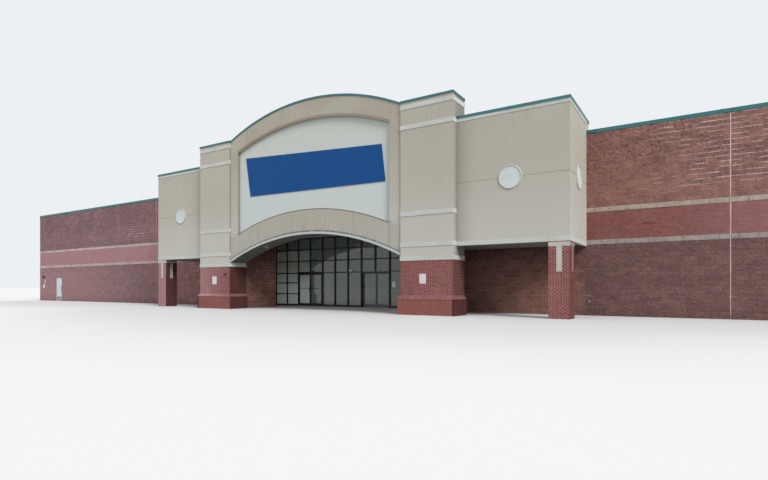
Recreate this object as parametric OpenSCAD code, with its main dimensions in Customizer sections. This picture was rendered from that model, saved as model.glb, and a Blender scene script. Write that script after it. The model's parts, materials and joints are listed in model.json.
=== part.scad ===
// Supermarket building with an arched entrance portal between two towers.
// Lengths are those of the real building in millimetres; model_scale makes the model from them.
// Heights count from the paving in front of the doors, depths from the face of the front wall.

/* [Scale] */
// Size of the model against the real building
model_scale = 0.5; // [0.05:0.05:0.5]

/* [Hall] */
// Width of the hall over its side walls
hall_w = 74000; // [69000:500:78000]
// Depth of the hall over its front and rear walls
hall_d = 48000; // [36000:500:60000]
// Thickness of the masonry walls
wall_t = 300; // [250:10:400]
// Height of the walls with their coping
wall_top = 8107; // [7900:1:8150]
// Height of one masonry course
course_h = 203.2; // [190:0.1:210]
// Courses of split-faced block under the lower belt
lower_courses = 15; // [13:1:16]
// Courses of smooth brick between the two belts
brick_courses = 6; // [4:1:8]
// Height of the metal coping
coping_h = 155; // [80:5:250]
// Overhang of every coping
coping_out = 30; // [10:5:60]
// Height of the masonry parapet over the roof's underside
parapet_h = 952; // [500:1:1900]
// Thickness of the flat roof
roof_t = 250; // [150:10:400]
// Thickness of the floor slab
slab_t = 100; // [60:5:200]
// Floor level above the paving
floor_rise = 30; // [10:5:50]
// Diameter of the steel columns in the hall
hall_column_d = 220; // [150:10:400]
// Columns in each row
hall_column_cols = 5; // [3:1:7]
// Rows of columns
hall_column_rows = 3; // [2:1:4]

/* [Towers] */
// Half the clear width between the towers
tower_in = 5722; // [5000:1:6900]
// Width of a tower
tower_w = 2614; // [2300:1:2900]
// Front of the towers before the wall face
tower_front = 3703; // [3680:1:4000]
// Back of the towers and of the arched wall before the wall face
portal_back = 2450; // [2300:10:2600]
// Rise of the towers over the wings
tower_rise = 1048; // [700:1:1500]
// Height of the portal's coping
tower_coping_h = 96; // [60:1:120]
// Height of the brick base
base_h = 2380; // [2100:10:2500]
// Height of the projecting foot of the base
plinth_h = 640; // [400:10:900]
// Height of the sloped brick course over that foot
plinth_slope_h = 160; // [80:10:240]
// Projection of that foot
plinth_out = 110; // [50:5:150]
// Two bands on the shaft, above the brick base
low_band_up = [620, 2020];
// Lower edge of the third band, below the top of the wings
wing_level_band_down = 288; // [250:1:500]
// Lower edge of the top band, below the top of the towers
top_band_down = 416; // [330:1:600]
// Height of every tower band
band_h = 195; // [120:5:220]
// Projection of the tower bands
band_out = 20; // [10:1:25]

/* [Arched wall] */
// Front of the arched wall before the wall face
arch_front = 3643; // [3600:1:3665]
// Drop of the arch coping below the towers' coping where they meet
arch_drop = 36; // [26:1:60]
// Rise of the coping at the middle of the arch
arch_rise = 1330; // [600:10:2000]
// Ends of the entrance arch above the brick base
entry_up = 240; // [220:5:400]
// Rise of the entrance arch at its middle
entry_rise = 1320; // [700:10:1450]
// Height of the pale trim round the entrance arch
entry_trim_h = 190; // [100:10:230]
// Projection of that trim
entry_trim_out = 20; // [10:1:30]
// Half the width of the recessed sign field
panel_half = 5089; // [4500:1:5300]
// Ends of the field's upper edge below the ends of the coping
panel_top_down = 775; // [500:1:1200]
// Rise of the field's upper edge at its middle
panel_top_rise = 1012; // [500:1:1200]
// Ends of the field's lower edge above the ends of the entrance arch
panel_low_up = 1584; // [1200:1:2000]
// Rise of the field's lower edge at its middle
panel_low_rise = 1034; // [500:1:1200]
// Depth of the recess over the field
panel_recess = 150; // [60:5:250]
// Thickness of the pale panel in the field
panel_t = 30; // [15:5:60]

/* [Wings] */
// Outer side of a wing from the middle of the building
wing_out = 13087; // [12000:1:13500]
// Front of the wings before the wall face
wing_front = 3325; // [3150:1:3400]
// Thickness of the wings' walls
wing_wall_t = 200; // [120:10:300]
// Lower edge of the wings above the brick base
wing_low_up = 606; // [400:1:800]
// Rise of the wings over the walls
wing_rise = 521; // [350:1:900]
// Height of the wings' coping
wing_coping_h = 120; // [60:5:140]
// Height of the pale band along the lower edge
wing_band_h = 189; // [100:1:250]
// Height of the pale strip under the coping
wing_strip_h = 138; // [80:1:200]
// Projection of the wings' bands
wing_band_out = 15; // [8:1:25]
// Porch soffits above the lower edge of the wings
soffit_up = 64; // [20:1:200]
// Thickness of the porch soffits
soffit_t = 100; // [60:10:200]
// Reach of the side parapets behind the wall face
parapet_reach = 450; // [420:10:800]
// Thickness of the roof over the entrance
entrance_roof_t = 150; // [80:10:200]
// Medallion on a wing's front, from the middle of the building
medallion_x = 10720; // [10000:10:11300]
// Height of the medallions
medallion_z = 5720; // [5000:10:6500]
// Outer diameter of a medallion's ring
medallion_d = 1000; // [700:10:1200]
// Width of the ring
medallion_ring = 70; // [40:5:120]
// Projection of the ring
medallion_out = 40; // [20:1:60]
// Projection of the disc inside the ring
medallion_disc_out = 16; // [8:1:18]
// Width of the control grooves in the stucco
groove_w = 20; // [12:1:40]
// Depth of those grooves
groove_d = 12; // [6:1:25]

/* [Corner columns] */
// Width of a corner column
column_w = 820; // [600:10:1000]
// Depth of a corner column
column_d = 810; // [600:10:1000]
// Top of the pale cap inlay below the wings
cap_down = 36; // [10:1:200]
// Height of the cap inlay
cap_h = 160; // [80:5:180]
// Width of the upright inlay
stem_w = 210; // [100:5:400]
// Length of the upright inlay
stem_l = 1000; // [500:10:1500]
// Projection of the inlays
inlay_out = 8; // [4:1:15]

/* [Storefront] */
// Clearance at the two ends of the storefront
storefront_fit = 4; // [2:1:20]
// Face width of the mullions and rails
mullion_w = 60; // [40:1:70]
// Setback of the frames behind the wall face
frame_set = 50; // [20:5:80]
// Depth of the caps outside the glass
cap_t = 30; // [15:1:40]
// Thickness of the glass
glass_t = 25; // [12:1:30]
// Depth of the tubes inside the glass
tube_t = 60; // [40:1:80]
// Middle of the two low rails
low_rail_z = [775, 1460];
// Middle of the rail over the doors
header_z = 2055; // [2000:5:2150]
// Middle of the two rails over the header
high_rail_z = [2785, 3470];
// Middle of the top rail
top_rail_z = 4155; // [4100:5:4160]
// Porch ceiling above the storefront
ceiling_up = 15; // [0:5:200]
// Thickness of the porch ceiling
ceiling_t = 120; // [60:10:200]
// Height of the sliding doors' header box
header_box_h = 150; // [100:5:200]
// Reach of that box behind the frames
header_box_reach = 160; // [120:5:220]

/* [Doors] */
// Gap round each door leaf
door_gap = 20; // [16:1:30]
// Thickness of a door leaf
leaf_t = 45; // [35:1:50]
// Width of a glazed leaf's stiles
stile_w = 55; // [45:1:80]
// Height of a glazed leaf's bottom rail
bottom_rail_h = 160; // [80:5:250]
// Height of a glazed leaf's top rail
top_rail_h = 70; // [50:5:120]
// Thickness of a glazed leaf's pane
pane_t = 12; // [6:1:25]
// Clearance that carries a leaf at its hinges, hangers and guides
seat_gap = 0.6; // [0.4:0.1:1.5]
// Middle of the exit door from the left end of the hall
exit_from_end = 3660; // [1000:10:20000]
// Width of the exit doorway
exit_w = 1000; // [900:10:1200]
// Height of the exit doorway
exit_h = 2100; // [2050:10:2400]
// Face width of the exit door's frame
exit_jamb_w = 50; // [40:5:70]
// Depth of the exit door's frame
exit_jamb_t = 120; // [80:5:160]
// Setback of the exit door's frame
exit_set = 20; // [10:5:60]

/* [Hidden] */
$fn = 64;
// Chords in each half of an arc
arc_steps = 24;
// A hair more than nothing, for cuts that pass a face
cut = 1;
foot = slab_t - floor_rise;
half_w = hall_w / 2;
exit_x = exit_from_end - half_w;
front_y = -(tower_front + plinth_out);
back_y = hall_d + coping_out;
mid_y = (front_y + back_y) / 2;
masonry_top = wall_top - coping_h;
roof_z = masonry_top - parapet_h;
wing_top = wall_top + wing_rise;
tower_top = wing_top + tower_rise;
arch_spring = tower_top - arch_drop;
entry_spring = base_h + entry_up;
panel_top_spring = arch_spring - panel_top_down;
panel_low_spring = entry_spring + panel_low_up;
lower_top = lower_courses * course_h;
brick_z = lower_top + course_h;
brick_top = brick_z + brick_courses * course_h;
upper_z = brick_top + course_h;
tower_out = tower_in + tower_w;
wing_masonry_top = wing_top - wing_coping_h;
wing_low = base_h + wing_low_up;
soffit_z = wing_low + soffit_up;
cap_z = wing_low - cap_down - cap_h;
shaft_top = tower_top - tower_coping_h;
portal_d = arch_front - portal_back;
storefront_half = tower_in - storefront_fit;
bay_w = (2 * storefront_half - mullion_w) / 12;
storefront_top = top_rail_z + mullion_w / 2;
ceiling_z = storefront_top + ceiling_up;
header_low = header_z - mullion_w / 2;
frame_back = frame_set + cap_t + glass_t + tube_t;
leaf_h = header_low - floor_rise - 2 * door_gap;
swing_jambs = [-4 * bay_w + mullion_w / 2, -2 * bay_w - mullion_w / 2];
swing_leaf_w = (swing_jambs[1] - swing_jambs[0] - 3 * door_gap) / 2;
slide_meet = 2 * bay_w;
slide_leaf_w = bay_w + mullion_w / 2 - door_gap / 2;
slide_clear = 12;
slide_y = frame_back + slide_clear;
knuckle_r = door_gap / 2 - seat_gap;
exit_leaf_w = exit_w - 2 * exit_jamb_w - 2 * door_gap;
exit_leaf_h = exit_h - exit_jamb_w - floor_rise - 2 * door_gap;
light_d = 280;
light_h = 70;
porch_light_x = 3400;
light_gap = 2;
knuckle_l = 100;
knuckle_from_end = 150;
hanger_w = 80;
hanger_from_edge = 150;
exit_pull_from_edge = 70;
pull_d = 28;
pull_post_d = 20;
pull_post_from_end = 40;
pull_l = 320;
pull_out = 55;
pull_z = 1050;

// Puts a piece given in real lengths into the model's frame
module placed(paint) {
    color(paint) scale(model_scale) translate([0, -mid_y, foot]) children();
}

// Makes a piece and its mirror image across the middle of the building
module both() {
    children();
    mirror([1, 0, 0]) children();
}

// A box between two opposite corners
module box(low, high) {
    translate(low) cube(high - low);
}

// Radius of the arc over a chord, from half the chord and the rise
function arc_r(half, rise) = (half * half + rise * rise) / (2 * rise);

// Height of an arc that rises over its ends, at a distance from its middle
function arc_z(half, spring, rise, x) =
    let (r = arc_r(half, rise)) spring + rise - r + sqrt(r * r - x * x);

// Area under an arc that rises over its ends, as wide as the chord and down to a level
module under_arc(half, spring, rise, level) {
    r = arc_r(half, rise);
    lean = asin(half / r);
    polygon(concat(
        [for (i = [-arc_steps:arc_steps]) [
            r * sin(lean * i / arc_steps),
            spring + rise - r + r * cos(lean * i / arc_steps)
        ]],
        [[half, level], [-half, level]]
    ));
}

// Turns an outline in the plane of the front into a plate between two depths
module plate(y0, y1) {
    translate([0, y1, 0]) rotate([90, 0, 0]) linear_extrude(y1 - y0) children();
}

// Wall zones, each a full-thickness run between two corners in plan
module run(plan0, plan1, z0, z1) {
    box([plan0[0], plan0[1], z0], [plan1[0], plan1[1], z1]);
}

module block_zones(plan0, plan1) {
    run(plan0, plan1, -foot, lower_top);
    run(plan0, plan1, upper_z, masonry_top);
}

module belt_zones(plan0, plan1) {
    run(plan0, plan1, lower_top, brick_z);
    run(plan0, plan1, brick_top, upper_z);
}

module front_block_wall() {
    placed("rosybrown") {
        block_zones([tower_in, 0], [half_w, wall_t]);
        run([-half_w, 0], [exit_x - exit_w / 2, wall_t], -foot, lower_top);
        run([exit_x + exit_w / 2, 0], [-tower_in, wall_t], -foot, lower_top);
        run([-half_w, 0], [-tower_in, wall_t], upper_z, masonry_top);
    }
}

module front_brick_wall() {
    placed("firebrick") both() run([tower_in, 0], [half_w, wall_t], brick_z, brick_top);
}

module front_belts() {
    placed("wheat") both() belt_zones([tower_in, 0], [half_w, wall_t]);
}

module exit_lintel() {
    placed("rosybrown")
        run([exit_x - exit_w / 2, 0], [exit_x + exit_w / 2, wall_t], exit_h, lower_top);
}

module wall_over_storefront() {
    placed("rosybrown") run([-tower_in, 0], [tower_in, wall_t], storefront_top, masonry_top);
}

right_plan = [[half_w - wall_t, wall_t], [half_w, hall_d - wall_t]];

module right_block_wall() {
    placed("rosybrown") block_zones(right_plan[0], right_plan[1]);
}

module right_brick_wall() {
    placed("firebrick") run(right_plan[0], right_plan[1], brick_z, brick_top);
}

module right_belts() {
    placed("wheat") belt_zones(right_plan[0], right_plan[1]);
}

rear_plan = [[-half_w, hall_d - wall_t], [half_w, hall_d]];

module rear_block_wall() {
    placed("rosybrown") block_zones(rear_plan[0], rear_plan[1]);
}

module rear_brick_wall() {
    placed("firebrick") run(rear_plan[0], rear_plan[1], brick_z, brick_top);
}

module rear_belts() {
    placed("wheat") belt_zones(rear_plan[0], rear_plan[1]);
}

module party_wall() {
    placed("gray") run([-half_w, wall_t], [-half_w + wall_t, hall_d - wall_t], -foot, masonry_top);
}

// Copings stand over the wall below on both of its faces
module front_coping() {
    placed("teal") both()
        run([wing_out, -coping_out], [half_w + coping_out, wall_t + coping_out], masonry_top, wall_top);
}

module rear_coping() {
    placed("teal")
        run([-half_w - coping_out, hall_d - wall_t - coping_out], [half_w + coping_out, hall_d + coping_out],
            masonry_top, wall_top);
}

module side_copings() {
    placed("teal") both()
        run([half_w - wall_t - coping_out, wall_t + coping_out],
            [half_w + coping_out, hall_d - wall_t - coping_out], masonry_top, wall_top);
}

module floor_slab() {
    placed("silver")
        box([-half_w + wall_t, wall_t, -foot], [half_w - wall_t, hall_d - wall_t, floor_rise]);
}

module door_sills() {
    placed("silver") {
        box([-tower_in, 0, -foot], [tower_in, wall_t, floor_rise]);
        box([exit_x - exit_w / 2, 0, -foot], [exit_x + exit_w / 2, wall_t, floor_rise]);
    }
}

module hall_columns() {
    placed("slategray")
        for (i = [1:hall_column_cols], j = [1:hall_column_rows])
            translate([(i / (hall_column_cols + 1) - 0.5) * hall_w, j / (hall_column_rows + 1) * hall_d,
                floor_rise])
                cylinder(d = hall_column_d, h = roof_z - floor_rise);
}

module roof_deck() {
    placed("lightgray")
        box([-half_w + wall_t, wall_t, roof_z], [half_w - wall_t, hall_d - wall_t, roof_z + roof_t]);
}

// Outline of the tower base seen from the front or the side: foot, slope and face
module stepped_outline(low, high, out_low, out_high) {
    polygon([
        [low - out_low, -foot], [high + out_high, -foot], [high + out_high, plinth_h],
        [high, plinth_h + plinth_slope_h], [high, base_h], [low, base_h],
        [low, plinth_h + plinth_slope_h], [low - out_low, plinth_h]
    ]);
}

module tower_bases() {
    placed("firebrick") both() intersection() {
        plate(front_y - cut, -portal_back + cut)
            stepped_outline(tower_in, tower_out, plinth_out, plinth_out);
        translate([tower_in - plinth_out - cut, 0, 0]) rotate([90, 0, 90])
            linear_extrude(tower_w + 2 * (plinth_out + cut))
                stepped_outline(-tower_front, -portal_back, plinth_out, 0);
    }
}

module tower_shafts() {
    placed("tan") both()
        box([tower_in, -tower_front, base_h], [tower_out, -portal_back, shaft_top]);
}

// A band round the front of a tower and along its sides, as far as the two given depths
module tower_band(z, inner_y, outer_y) {
    band_face = -tower_front - band_out;
    box([tower_in - band_out, band_face, z], [tower_out + band_out, -tower_front, z + band_h]);
    box([tower_in - band_out, band_face, z], [tower_in, inner_y, z + band_h]);
    box([tower_out, band_face, z], [tower_out + band_out, outer_y, z + band_h]);
}

module tower_bands() {
    placed("ivory") both() {
        for (z = [base_h + low_band_up[0], base_h + low_band_up[1], wing_top - wing_level_band_down])
            tower_band(z, -arch_front, -wing_front - coping_out);
        tower_band(tower_top - top_band_down, -arch_front, -portal_back);
        tower_band(base_h, -portal_back, -portal_back);
    }
}

module sign_field() {
    difference() {
        under_arc(panel_half, panel_top_spring, panel_top_rise, 0);
        under_arc(panel_half + cut, panel_low_spring, panel_low_rise, -cut);
    }
}

module arch_wall() {
    placed("tan") difference() {
        plate(-arch_front, -portal_back) difference() {
            under_arc(tower_in, arch_spring - tower_coping_h, arch_rise, entry_spring);
            under_arc(tower_in, entry_spring, entry_rise, 0);
        }
        plate(-arch_front - cut, -arch_front + panel_recess + panel_t) sign_field();
        both() box([panel_half - groove_w / 2, -arch_front - cut,
                arc_z(tower_in, entry_spring, entry_rise, panel_half) + entry_trim_h / 2],
            [panel_half + groove_w / 2, -arch_front + groove_d, panel_low_spring + cut]);
    }
}

module sign_panel() {
    placed("whitesmoke")
        plate(-arch_front + panel_recess, -arch_front + panel_recess + panel_t) sign_field();
}

module arch_trim() {
    placed("ivory") plate(-arch_front - entry_trim_out, -arch_front) difference() {
        under_arc(tower_in, entry_spring + entry_trim_h, entry_rise, entry_spring);
        under_arc(tower_in, entry_spring, entry_rise, 0);
    }
}

module portal_coping() {
    placed("teal") {
        plate(-arch_front - coping_out, -portal_back + coping_out) difference() {
            under_arc(tower_in, arch_spring, arch_rise, shaft_top - tower_coping_h);
            under_arc(tower_in, arch_spring - tower_coping_h, arch_rise, 0);
        }
        both() box([tower_in - coping_out, -tower_front - coping_out, shaft_top],
            [tower_out + coping_out, -portal_back + coping_out, tower_top]);
    }
}

module porch_side_walls() {
    placed("firebrick") both()
        box([tower_in, -portal_back, -foot], [tower_in + wall_t, 0, ceiling_z]);
}

module porch_ceiling() {
    placed("dimgray")
        box([-tower_in - wall_t, -portal_back, ceiling_z], [tower_in + wall_t, 0, ceiling_z + ceiling_t]);
}

// Roof over the porches behind the arched wall, the towers and the wings' parapets
module entrance_roof() {
    side_x = wing_out - wing_wall_t;
    side_y = -wing_front + wing_wall_t;
    placed("lightgray") translate([0, 0, masonry_top]) linear_extrude(entrance_roof_t) polygon([
        [-side_x, wall_t], [-side_x, side_y], [-tower_out, side_y], [-tower_out, -portal_back],
        [tower_out, -portal_back], [tower_out, side_y], [side_x, side_y], [side_x, wall_t]
    ]);
}

// Control grooves through the middle of a medallion: one upright between the bands, one level.
// They lie in the face y = 0, with x counted from the upright one.
module control_grooves(x0, x1, depth) {
    box([-groove_w / 2, -cut, wing_low + wing_band_h], [groove_w / 2, depth, wing_masonry_top - wing_strip_h]);
    box([x0, -cut, medallion_z - groove_w / 2], [x1, depth, medallion_z + groove_w / 2]);
}

module wing_fronts() {
    placed("tan") both() difference() {
        box([tower_out, -wing_front, wing_low], [wing_out, -wing_front + wing_wall_t, wing_masonry_top]);
        translate([medallion_x, -wing_front, 0])
            control_grooves(tower_out - medallion_x - cut, wing_out - medallion_x + cut, groove_d);
        box([wing_out - groove_d, -wing_front - cut, medallion_z - groove_w / 2],
            [wing_out + cut, -wing_front + wing_wall_t + cut, medallion_z + groove_w / 2]);
    }
}

// Side wall of a wing, whose parapet runs on over the front wall
module wing_returns() {
    placed("tan") both() difference() {
        translate([wing_out - wing_wall_t, 0, 0]) rotate([90, 0, 90]) linear_extrude(wing_wall_t) polygon([
            [-wing_front + wing_wall_t, wing_low], [0, wing_low], [0, masonry_top],
            [parapet_reach, masonry_top], [parapet_reach, wing_masonry_top],
            [-wing_front + wing_wall_t, wing_masonry_top]
        ]);
        translate([wing_out, -wing_front / 2, 0]) rotate([0, 0, 90])
            control_grooves(-wing_front / 2 + wing_wall_t - cut, wing_front / 2 + cut, groove_d);
    }
}

module wing_soffits() {
    inner = tower_in + wall_t;
    outer = wing_out - wing_wall_t;
    placed("dimgray") both() translate([0, 0, soffit_z]) linear_extrude(soffit_t) polygon([
        [inner, -portal_back], [tower_out, -portal_back], [tower_out, -wing_front + wing_wall_t],
        [outer, -wing_front + wing_wall_t], [outer, 0], [inner, 0]
    ]);
}

// A band along a wing's front and round its side
module wing_band(z, h) {
    face_y = -wing_front - wing_band_out;
    box([tower_out, face_y, z], [wing_out + wing_band_out, -wing_front, z + h]);
    box([wing_out, face_y, z], [wing_out + wing_band_out, 0, z + h]);
}

module wing_bands() {
    placed("ivory") both() {
        wing_band(wing_low, wing_band_h);
        wing_band(wing_masonry_top - wing_strip_h, wing_strip_h);
    }
}

module wing_copings() {
    inner = wing_out - wing_wall_t - coping_out;
    placed("teal") both() translate([0, 0, wing_masonry_top]) linear_extrude(wing_coping_h) polygon([
        [tower_out, -wing_front - coping_out], [wing_out + coping_out, -wing_front - coping_out],
        [wing_out + coping_out, parapet_reach + coping_out], [inner, parapet_reach + coping_out],
        [inner, -wing_front + wing_wall_t + coping_out],
        [tower_out, -wing_front + wing_wall_t + coping_out]
    ]);
}

// A round ornament: a half-round ring about a flat disc, lying on the plane z = 0
module medallion() {
    ring_mid = medallion_d / 2 - medallion_ring / 2;
    rotate_extrude() {
        square([ring_mid, medallion_disc_out]);
        translate([ring_mid, 0]) intersection() {
            translate([0, medallion_out - medallion_ring / 2]) circle(d = medallion_ring);
            translate([-medallion_ring, 0]) square([2 * medallion_ring, medallion_out]);
        }
    }
}

module medallions() {
    placed("whitesmoke") both() {
        translate([medallion_x, -wing_front, medallion_z]) rotate([90, 0, 0]) medallion();
        translate([wing_out, -wing_front / 2, medallion_z]) rotate([0, 90, 0]) medallion();
    }
}

module corner_columns() {
    placed("firebrick") both()
        box([wing_out - column_w, -wing_front, -foot], [wing_out, -wing_front + column_d, wing_low]);
}

// Pale inlays on the four faces of a corner column: a cap all round and a stem on each face
module column_inlays() {
    x0 = wing_out - column_w;
    y1 = -wing_front + column_d;
    mid_x = wing_out - column_w / 2;
    column_mid_y = -wing_front + column_d / 2;
    placed("ivory") both() difference() {
        union() {
            box([x0 - inlay_out, -wing_front - inlay_out, cap_z],
                [wing_out + inlay_out, y1 + inlay_out, cap_z + cap_h]);
            box([mid_x - stem_w / 2, -wing_front - inlay_out, cap_z - stem_l],
                [mid_x + stem_w / 2, y1 + inlay_out, cap_z + cut]);
            box([x0 - inlay_out, column_mid_y - stem_w / 2, cap_z - stem_l],
                [wing_out + inlay_out, column_mid_y + stem_w / 2, cap_z + cut]);
        }
        box([x0, -wing_front, 0], [wing_out, y1, wing_low]);
    }
}

// Round lights under the wing soffits and under the entrance arch
module soffit_lights() {
    arch_light_z = arc_z(tower_in, entry_spring, entry_rise, porch_light_x);
    lean = asin(porch_light_x / arc_r(tower_in, entry_rise));
    placed("white") both() {
        translate([medallion_x, -wing_front / 2, soffit_z - light_h]) cylinder(d = light_d, h = light_h);
        translate([porch_light_x, -portal_back - portal_d / 2, arch_light_z]) rotate([0, lean, 0])
            translate([0, 0, -light_h]) cylinder(d = light_d, h = light_h - light_gap);
    }
}

// Rails and mullions of a glazed field, as an outline in the plane of the front.
// The field lies between two mullions and two rails, all given by their middles.
module field_grid(first, last, low, high, rails) {
    for (i = [first:last])
        translate([i * bay_w - mullion_w / 2, low]) square([mullion_w, high - low]);
    for (z = rails)
        translate([first * bay_w - mullion_w / 2, z - mullion_w / 2])
            square([(last - first) * bay_w + mullion_w, mullion_w]);
}

// Cap outside and tube inside the glass, from the same outline
module glazed_frame() {
    plate(frame_set, frame_set + cap_t) children();
    plate(frame_set + cap_t + glass_t, frame_back) children();
}

module lower_fields() {
    sill_mid = floor_rise + mullion_w / 2;
    both() field_grid(4, 6, floor_rise, header_low, concat([sill_mid], low_rail_z));
    field_grid(3, 4, floor_rise, header_low, [sill_mid]);
    field_grid(-2, 1, floor_rise, header_low, [sill_mid]);
}

module storefront_frame() {
    placed("darkslategray") glazed_frame() lower_fields();
}

module transom_frame() {
    placed("darkslategray") glazed_frame()
        field_grid(-6, 6, header_low, storefront_top, concat([header_z], high_rail_z, [top_rail_z]));
}

// Sheets of glass between the caps and the tubes, one for each field
module storefront_glass() {
    y0 = frame_set + cap_t;
    y1 = y0 + glass_t;
    inset = mullion_w / 2;
    placed("lightsteelblue") {
        box([-storefront_half, y0, header_low], [storefront_half, y1, storefront_top]);
        box([-storefront_half, y0, floor_rise], [-4 * bay_w + inset, y1, header_low - cut]);
        box([-2 * bay_w - inset, y0, floor_rise], [bay_w + inset, y1, header_low - cut]);
        box([3 * bay_w - inset, y0, floor_rise], [storefront_half, y1, header_low - cut]);
    }
}

// Box over the sliding doors, which hides their track
module slider_header() {
    placed("darkslategray")
        box([-mullion_w / 2, frame_back, header_low],
            [4 * bay_w + mullion_w / 2, frame_back + header_box_reach, header_low + header_box_h]);
}

// A glazed leaf's frame in its own corner, with its face in the plane y = 0
module leaf_frame(w, h) {
    difference() {
        cube([w, leaf_t, h]);
        translate([stile_w, -cut, bottom_rail_h])
            cube([w - 2 * stile_w, leaf_t + 2 * cut, h - bottom_rail_h - top_rail_h]);
    }
}

module leaf_pane(w, h) {
    translate([stile_w, (leaf_t - pane_t) / 2, bottom_rail_h])
        cube([w - 2 * stile_w, pane_t, h - bottom_rail_h - top_rail_h]);
}

// Knuckles on the hinge axis x = 0, y = 0, each with a plate that reaches the leaf
module knuckles(h) {
    for (z = [knuckle_from_end, h / 2, h - knuckle_from_end]) translate([0, 0, z - knuckle_l / 2]) {
        cylinder(r = knuckle_r, h = knuckle_l);
        translate([0, -knuckle_r / 2, 0]) cube([door_gap / 2 + cut, knuckle_r, knuckle_l]);
    }
}

// Pull handle on the outer face y = 0
module pull() {
    for (side = [-1, 1])
        translate([0, cut, side * (pull_l / 2 - pull_post_from_end)]) rotate([90, 0, 0])
            cylinder(d = pull_post_d, h = pull_out + cut);
    translate([0, -pull_out, -pull_l / 2]) cylinder(d = pull_d, h = pull_l);
}

module swing_leaf() {
    translate([door_gap / 2, 0, 0]) leaf_frame(swing_leaf_w, leaf_h);
    translate([door_gap / 2 + swing_leaf_w - stile_w / 2, 0, pull_z - floor_rise]) pull();
    knuckles(leaf_h);
}

// Carries a leaf from its hinge axis to one jamb of the swing doors
module at_swing(side) {
    axis_x = side < 0 ? swing_jambs[0] + door_gap / 2 : swing_jambs[1] - door_gap / 2;
    translate([axis_x, frame_set, floor_rise + door_gap]) mirror([side > 0 ? 1 : 0, 0, 0]) children();
}

module swing_door_left() {
    placed("darkslategray") at_swing(-1) swing_leaf();
}

module swing_glass_left() {
    placed("lightsteelblue") at_swing(-1)
        translate([door_gap / 2, 0, 0]) leaf_pane(swing_leaf_w, leaf_h);
}

module swing_door_right() {
    placed("darkslategray") at_swing(1) swing_leaf();
}

module swing_glass_right() {
    placed("lightsteelblue") at_swing(1)
        translate([door_gap / 2, 0, 0]) leaf_pane(swing_leaf_w, leaf_h);
}

// Sliding leaf with two hangers that reach up to the header box
module slide_leaf() {
    leaf_frame(slide_leaf_w, leaf_h);
    for (x = [hanger_from_edge, slide_leaf_w - hanger_from_edge])
        translate([x - hanger_w / 2, leaf_t / 3, leaf_h - cut])
            cube([hanger_w, leaf_t / 3, door_gap - seat_gap + cut]);
}

module at_slide(side) {
    translate([slide_meet, slide_y, floor_rise + door_gap]) mirror([side < 0 ? 1 : 0, 0, 0])
        translate([door_gap / 2, 0, 0]) children();
}

module sliding_door_left() {
    placed("darkslategray") at_slide(-1) slide_leaf();
}

module sliding_glass_left() {
    placed("lightsteelblue") at_slide(-1) leaf_pane(slide_leaf_w, leaf_h);
}

module sliding_door_right() {
    placed("darkslategray") at_slide(1) slide_leaf();
}

module sliding_glass_right() {
    placed("lightsteelblue") at_slide(1) leaf_pane(slide_leaf_w, leaf_h);
}

module exit_frame() {
    placed("white") difference() {
        box([exit_x - exit_w / 2, exit_set, floor_rise],
            [exit_x + exit_w / 2, exit_set + exit_jamb_t, exit_h]);
        box([exit_x - exit_w / 2 + exit_jamb_w, exit_set - cut, floor_rise - cut],
            [exit_x + exit_w / 2 - exit_jamb_w, exit_set + exit_jamb_t + cut, exit_h - exit_jamb_w]);
    }
}

module exit_door() {
    axis_x = exit_x - exit_w / 2 + exit_jamb_w + door_gap / 2;
    placed("white") translate([axis_x, exit_set, floor_rise + door_gap]) {
        translate([door_gap / 2, 0, 0]) cube([exit_leaf_w, leaf_t, exit_leaf_h]);
        translate([door_gap / 2 + exit_leaf_w - exit_pull_from_edge, 0, pull_z - floor_rise]) pull();
        knuckles(exit_leaf_h);
    }
}

floor_slab();
door_sills();
hall_columns();
roof_deck();
front_block_wall();
front_brick_wall();
front_belts();
exit_lintel();
wall_over_storefront();
right_block_wall();
right_brick_wall();
right_belts();
rear_block_wall();
rear_brick_wall();
rear_belts();
party_wall();
front_coping();
rear_coping();
side_copings();
tower_bases();
tower_shafts();
tower_bands();
arch_wall();
sign_panel();
arch_trim();
portal_coping();
porch_side_walls();
porch_ceiling();
entrance_roof();
wing_fronts();
wing_returns();
wing_soffits();
wing_bands();
wing_copings();
medallions();
corner_columns();
column_inlays();
soffit_lights();
storefront_frame();
transom_frame();
storefront_glass();
slider_header();
swing_door_left();
swing_glass_left();
swing_door_right();
swing_glass_right();
sliding_door_left();
sliding_glass_left();
sliding_door_right();
sliding_glass_right();
exit_frame();
exit_door();
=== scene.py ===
import json
import math
import bmesh
import bpy
import numpy as np
from mathutils import Matrix, Vector


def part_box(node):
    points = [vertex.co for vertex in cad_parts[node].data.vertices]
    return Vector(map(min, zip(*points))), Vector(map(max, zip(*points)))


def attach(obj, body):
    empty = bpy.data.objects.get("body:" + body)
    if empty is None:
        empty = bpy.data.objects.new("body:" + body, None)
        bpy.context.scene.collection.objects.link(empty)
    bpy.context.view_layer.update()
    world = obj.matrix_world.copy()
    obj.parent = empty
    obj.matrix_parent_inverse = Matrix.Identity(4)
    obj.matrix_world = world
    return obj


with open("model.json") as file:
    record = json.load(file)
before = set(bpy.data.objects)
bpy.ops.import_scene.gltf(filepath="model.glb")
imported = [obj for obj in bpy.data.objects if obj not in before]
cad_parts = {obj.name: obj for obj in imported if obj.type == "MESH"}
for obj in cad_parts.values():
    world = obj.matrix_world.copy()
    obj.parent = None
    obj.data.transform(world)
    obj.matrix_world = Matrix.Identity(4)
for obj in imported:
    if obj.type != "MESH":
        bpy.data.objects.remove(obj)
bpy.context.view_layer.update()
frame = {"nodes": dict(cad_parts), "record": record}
cadNodes = frame["nodes"]
print("frame loaded,", len(cadNodes), "nodes")

# Lengths below are metres of the real building: x from its middle, y from the front wall's face, z from
# the paving.
modelScale = 0.5
pavingZ = 0.035
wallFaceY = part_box("front_block_wall")[0].y


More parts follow.
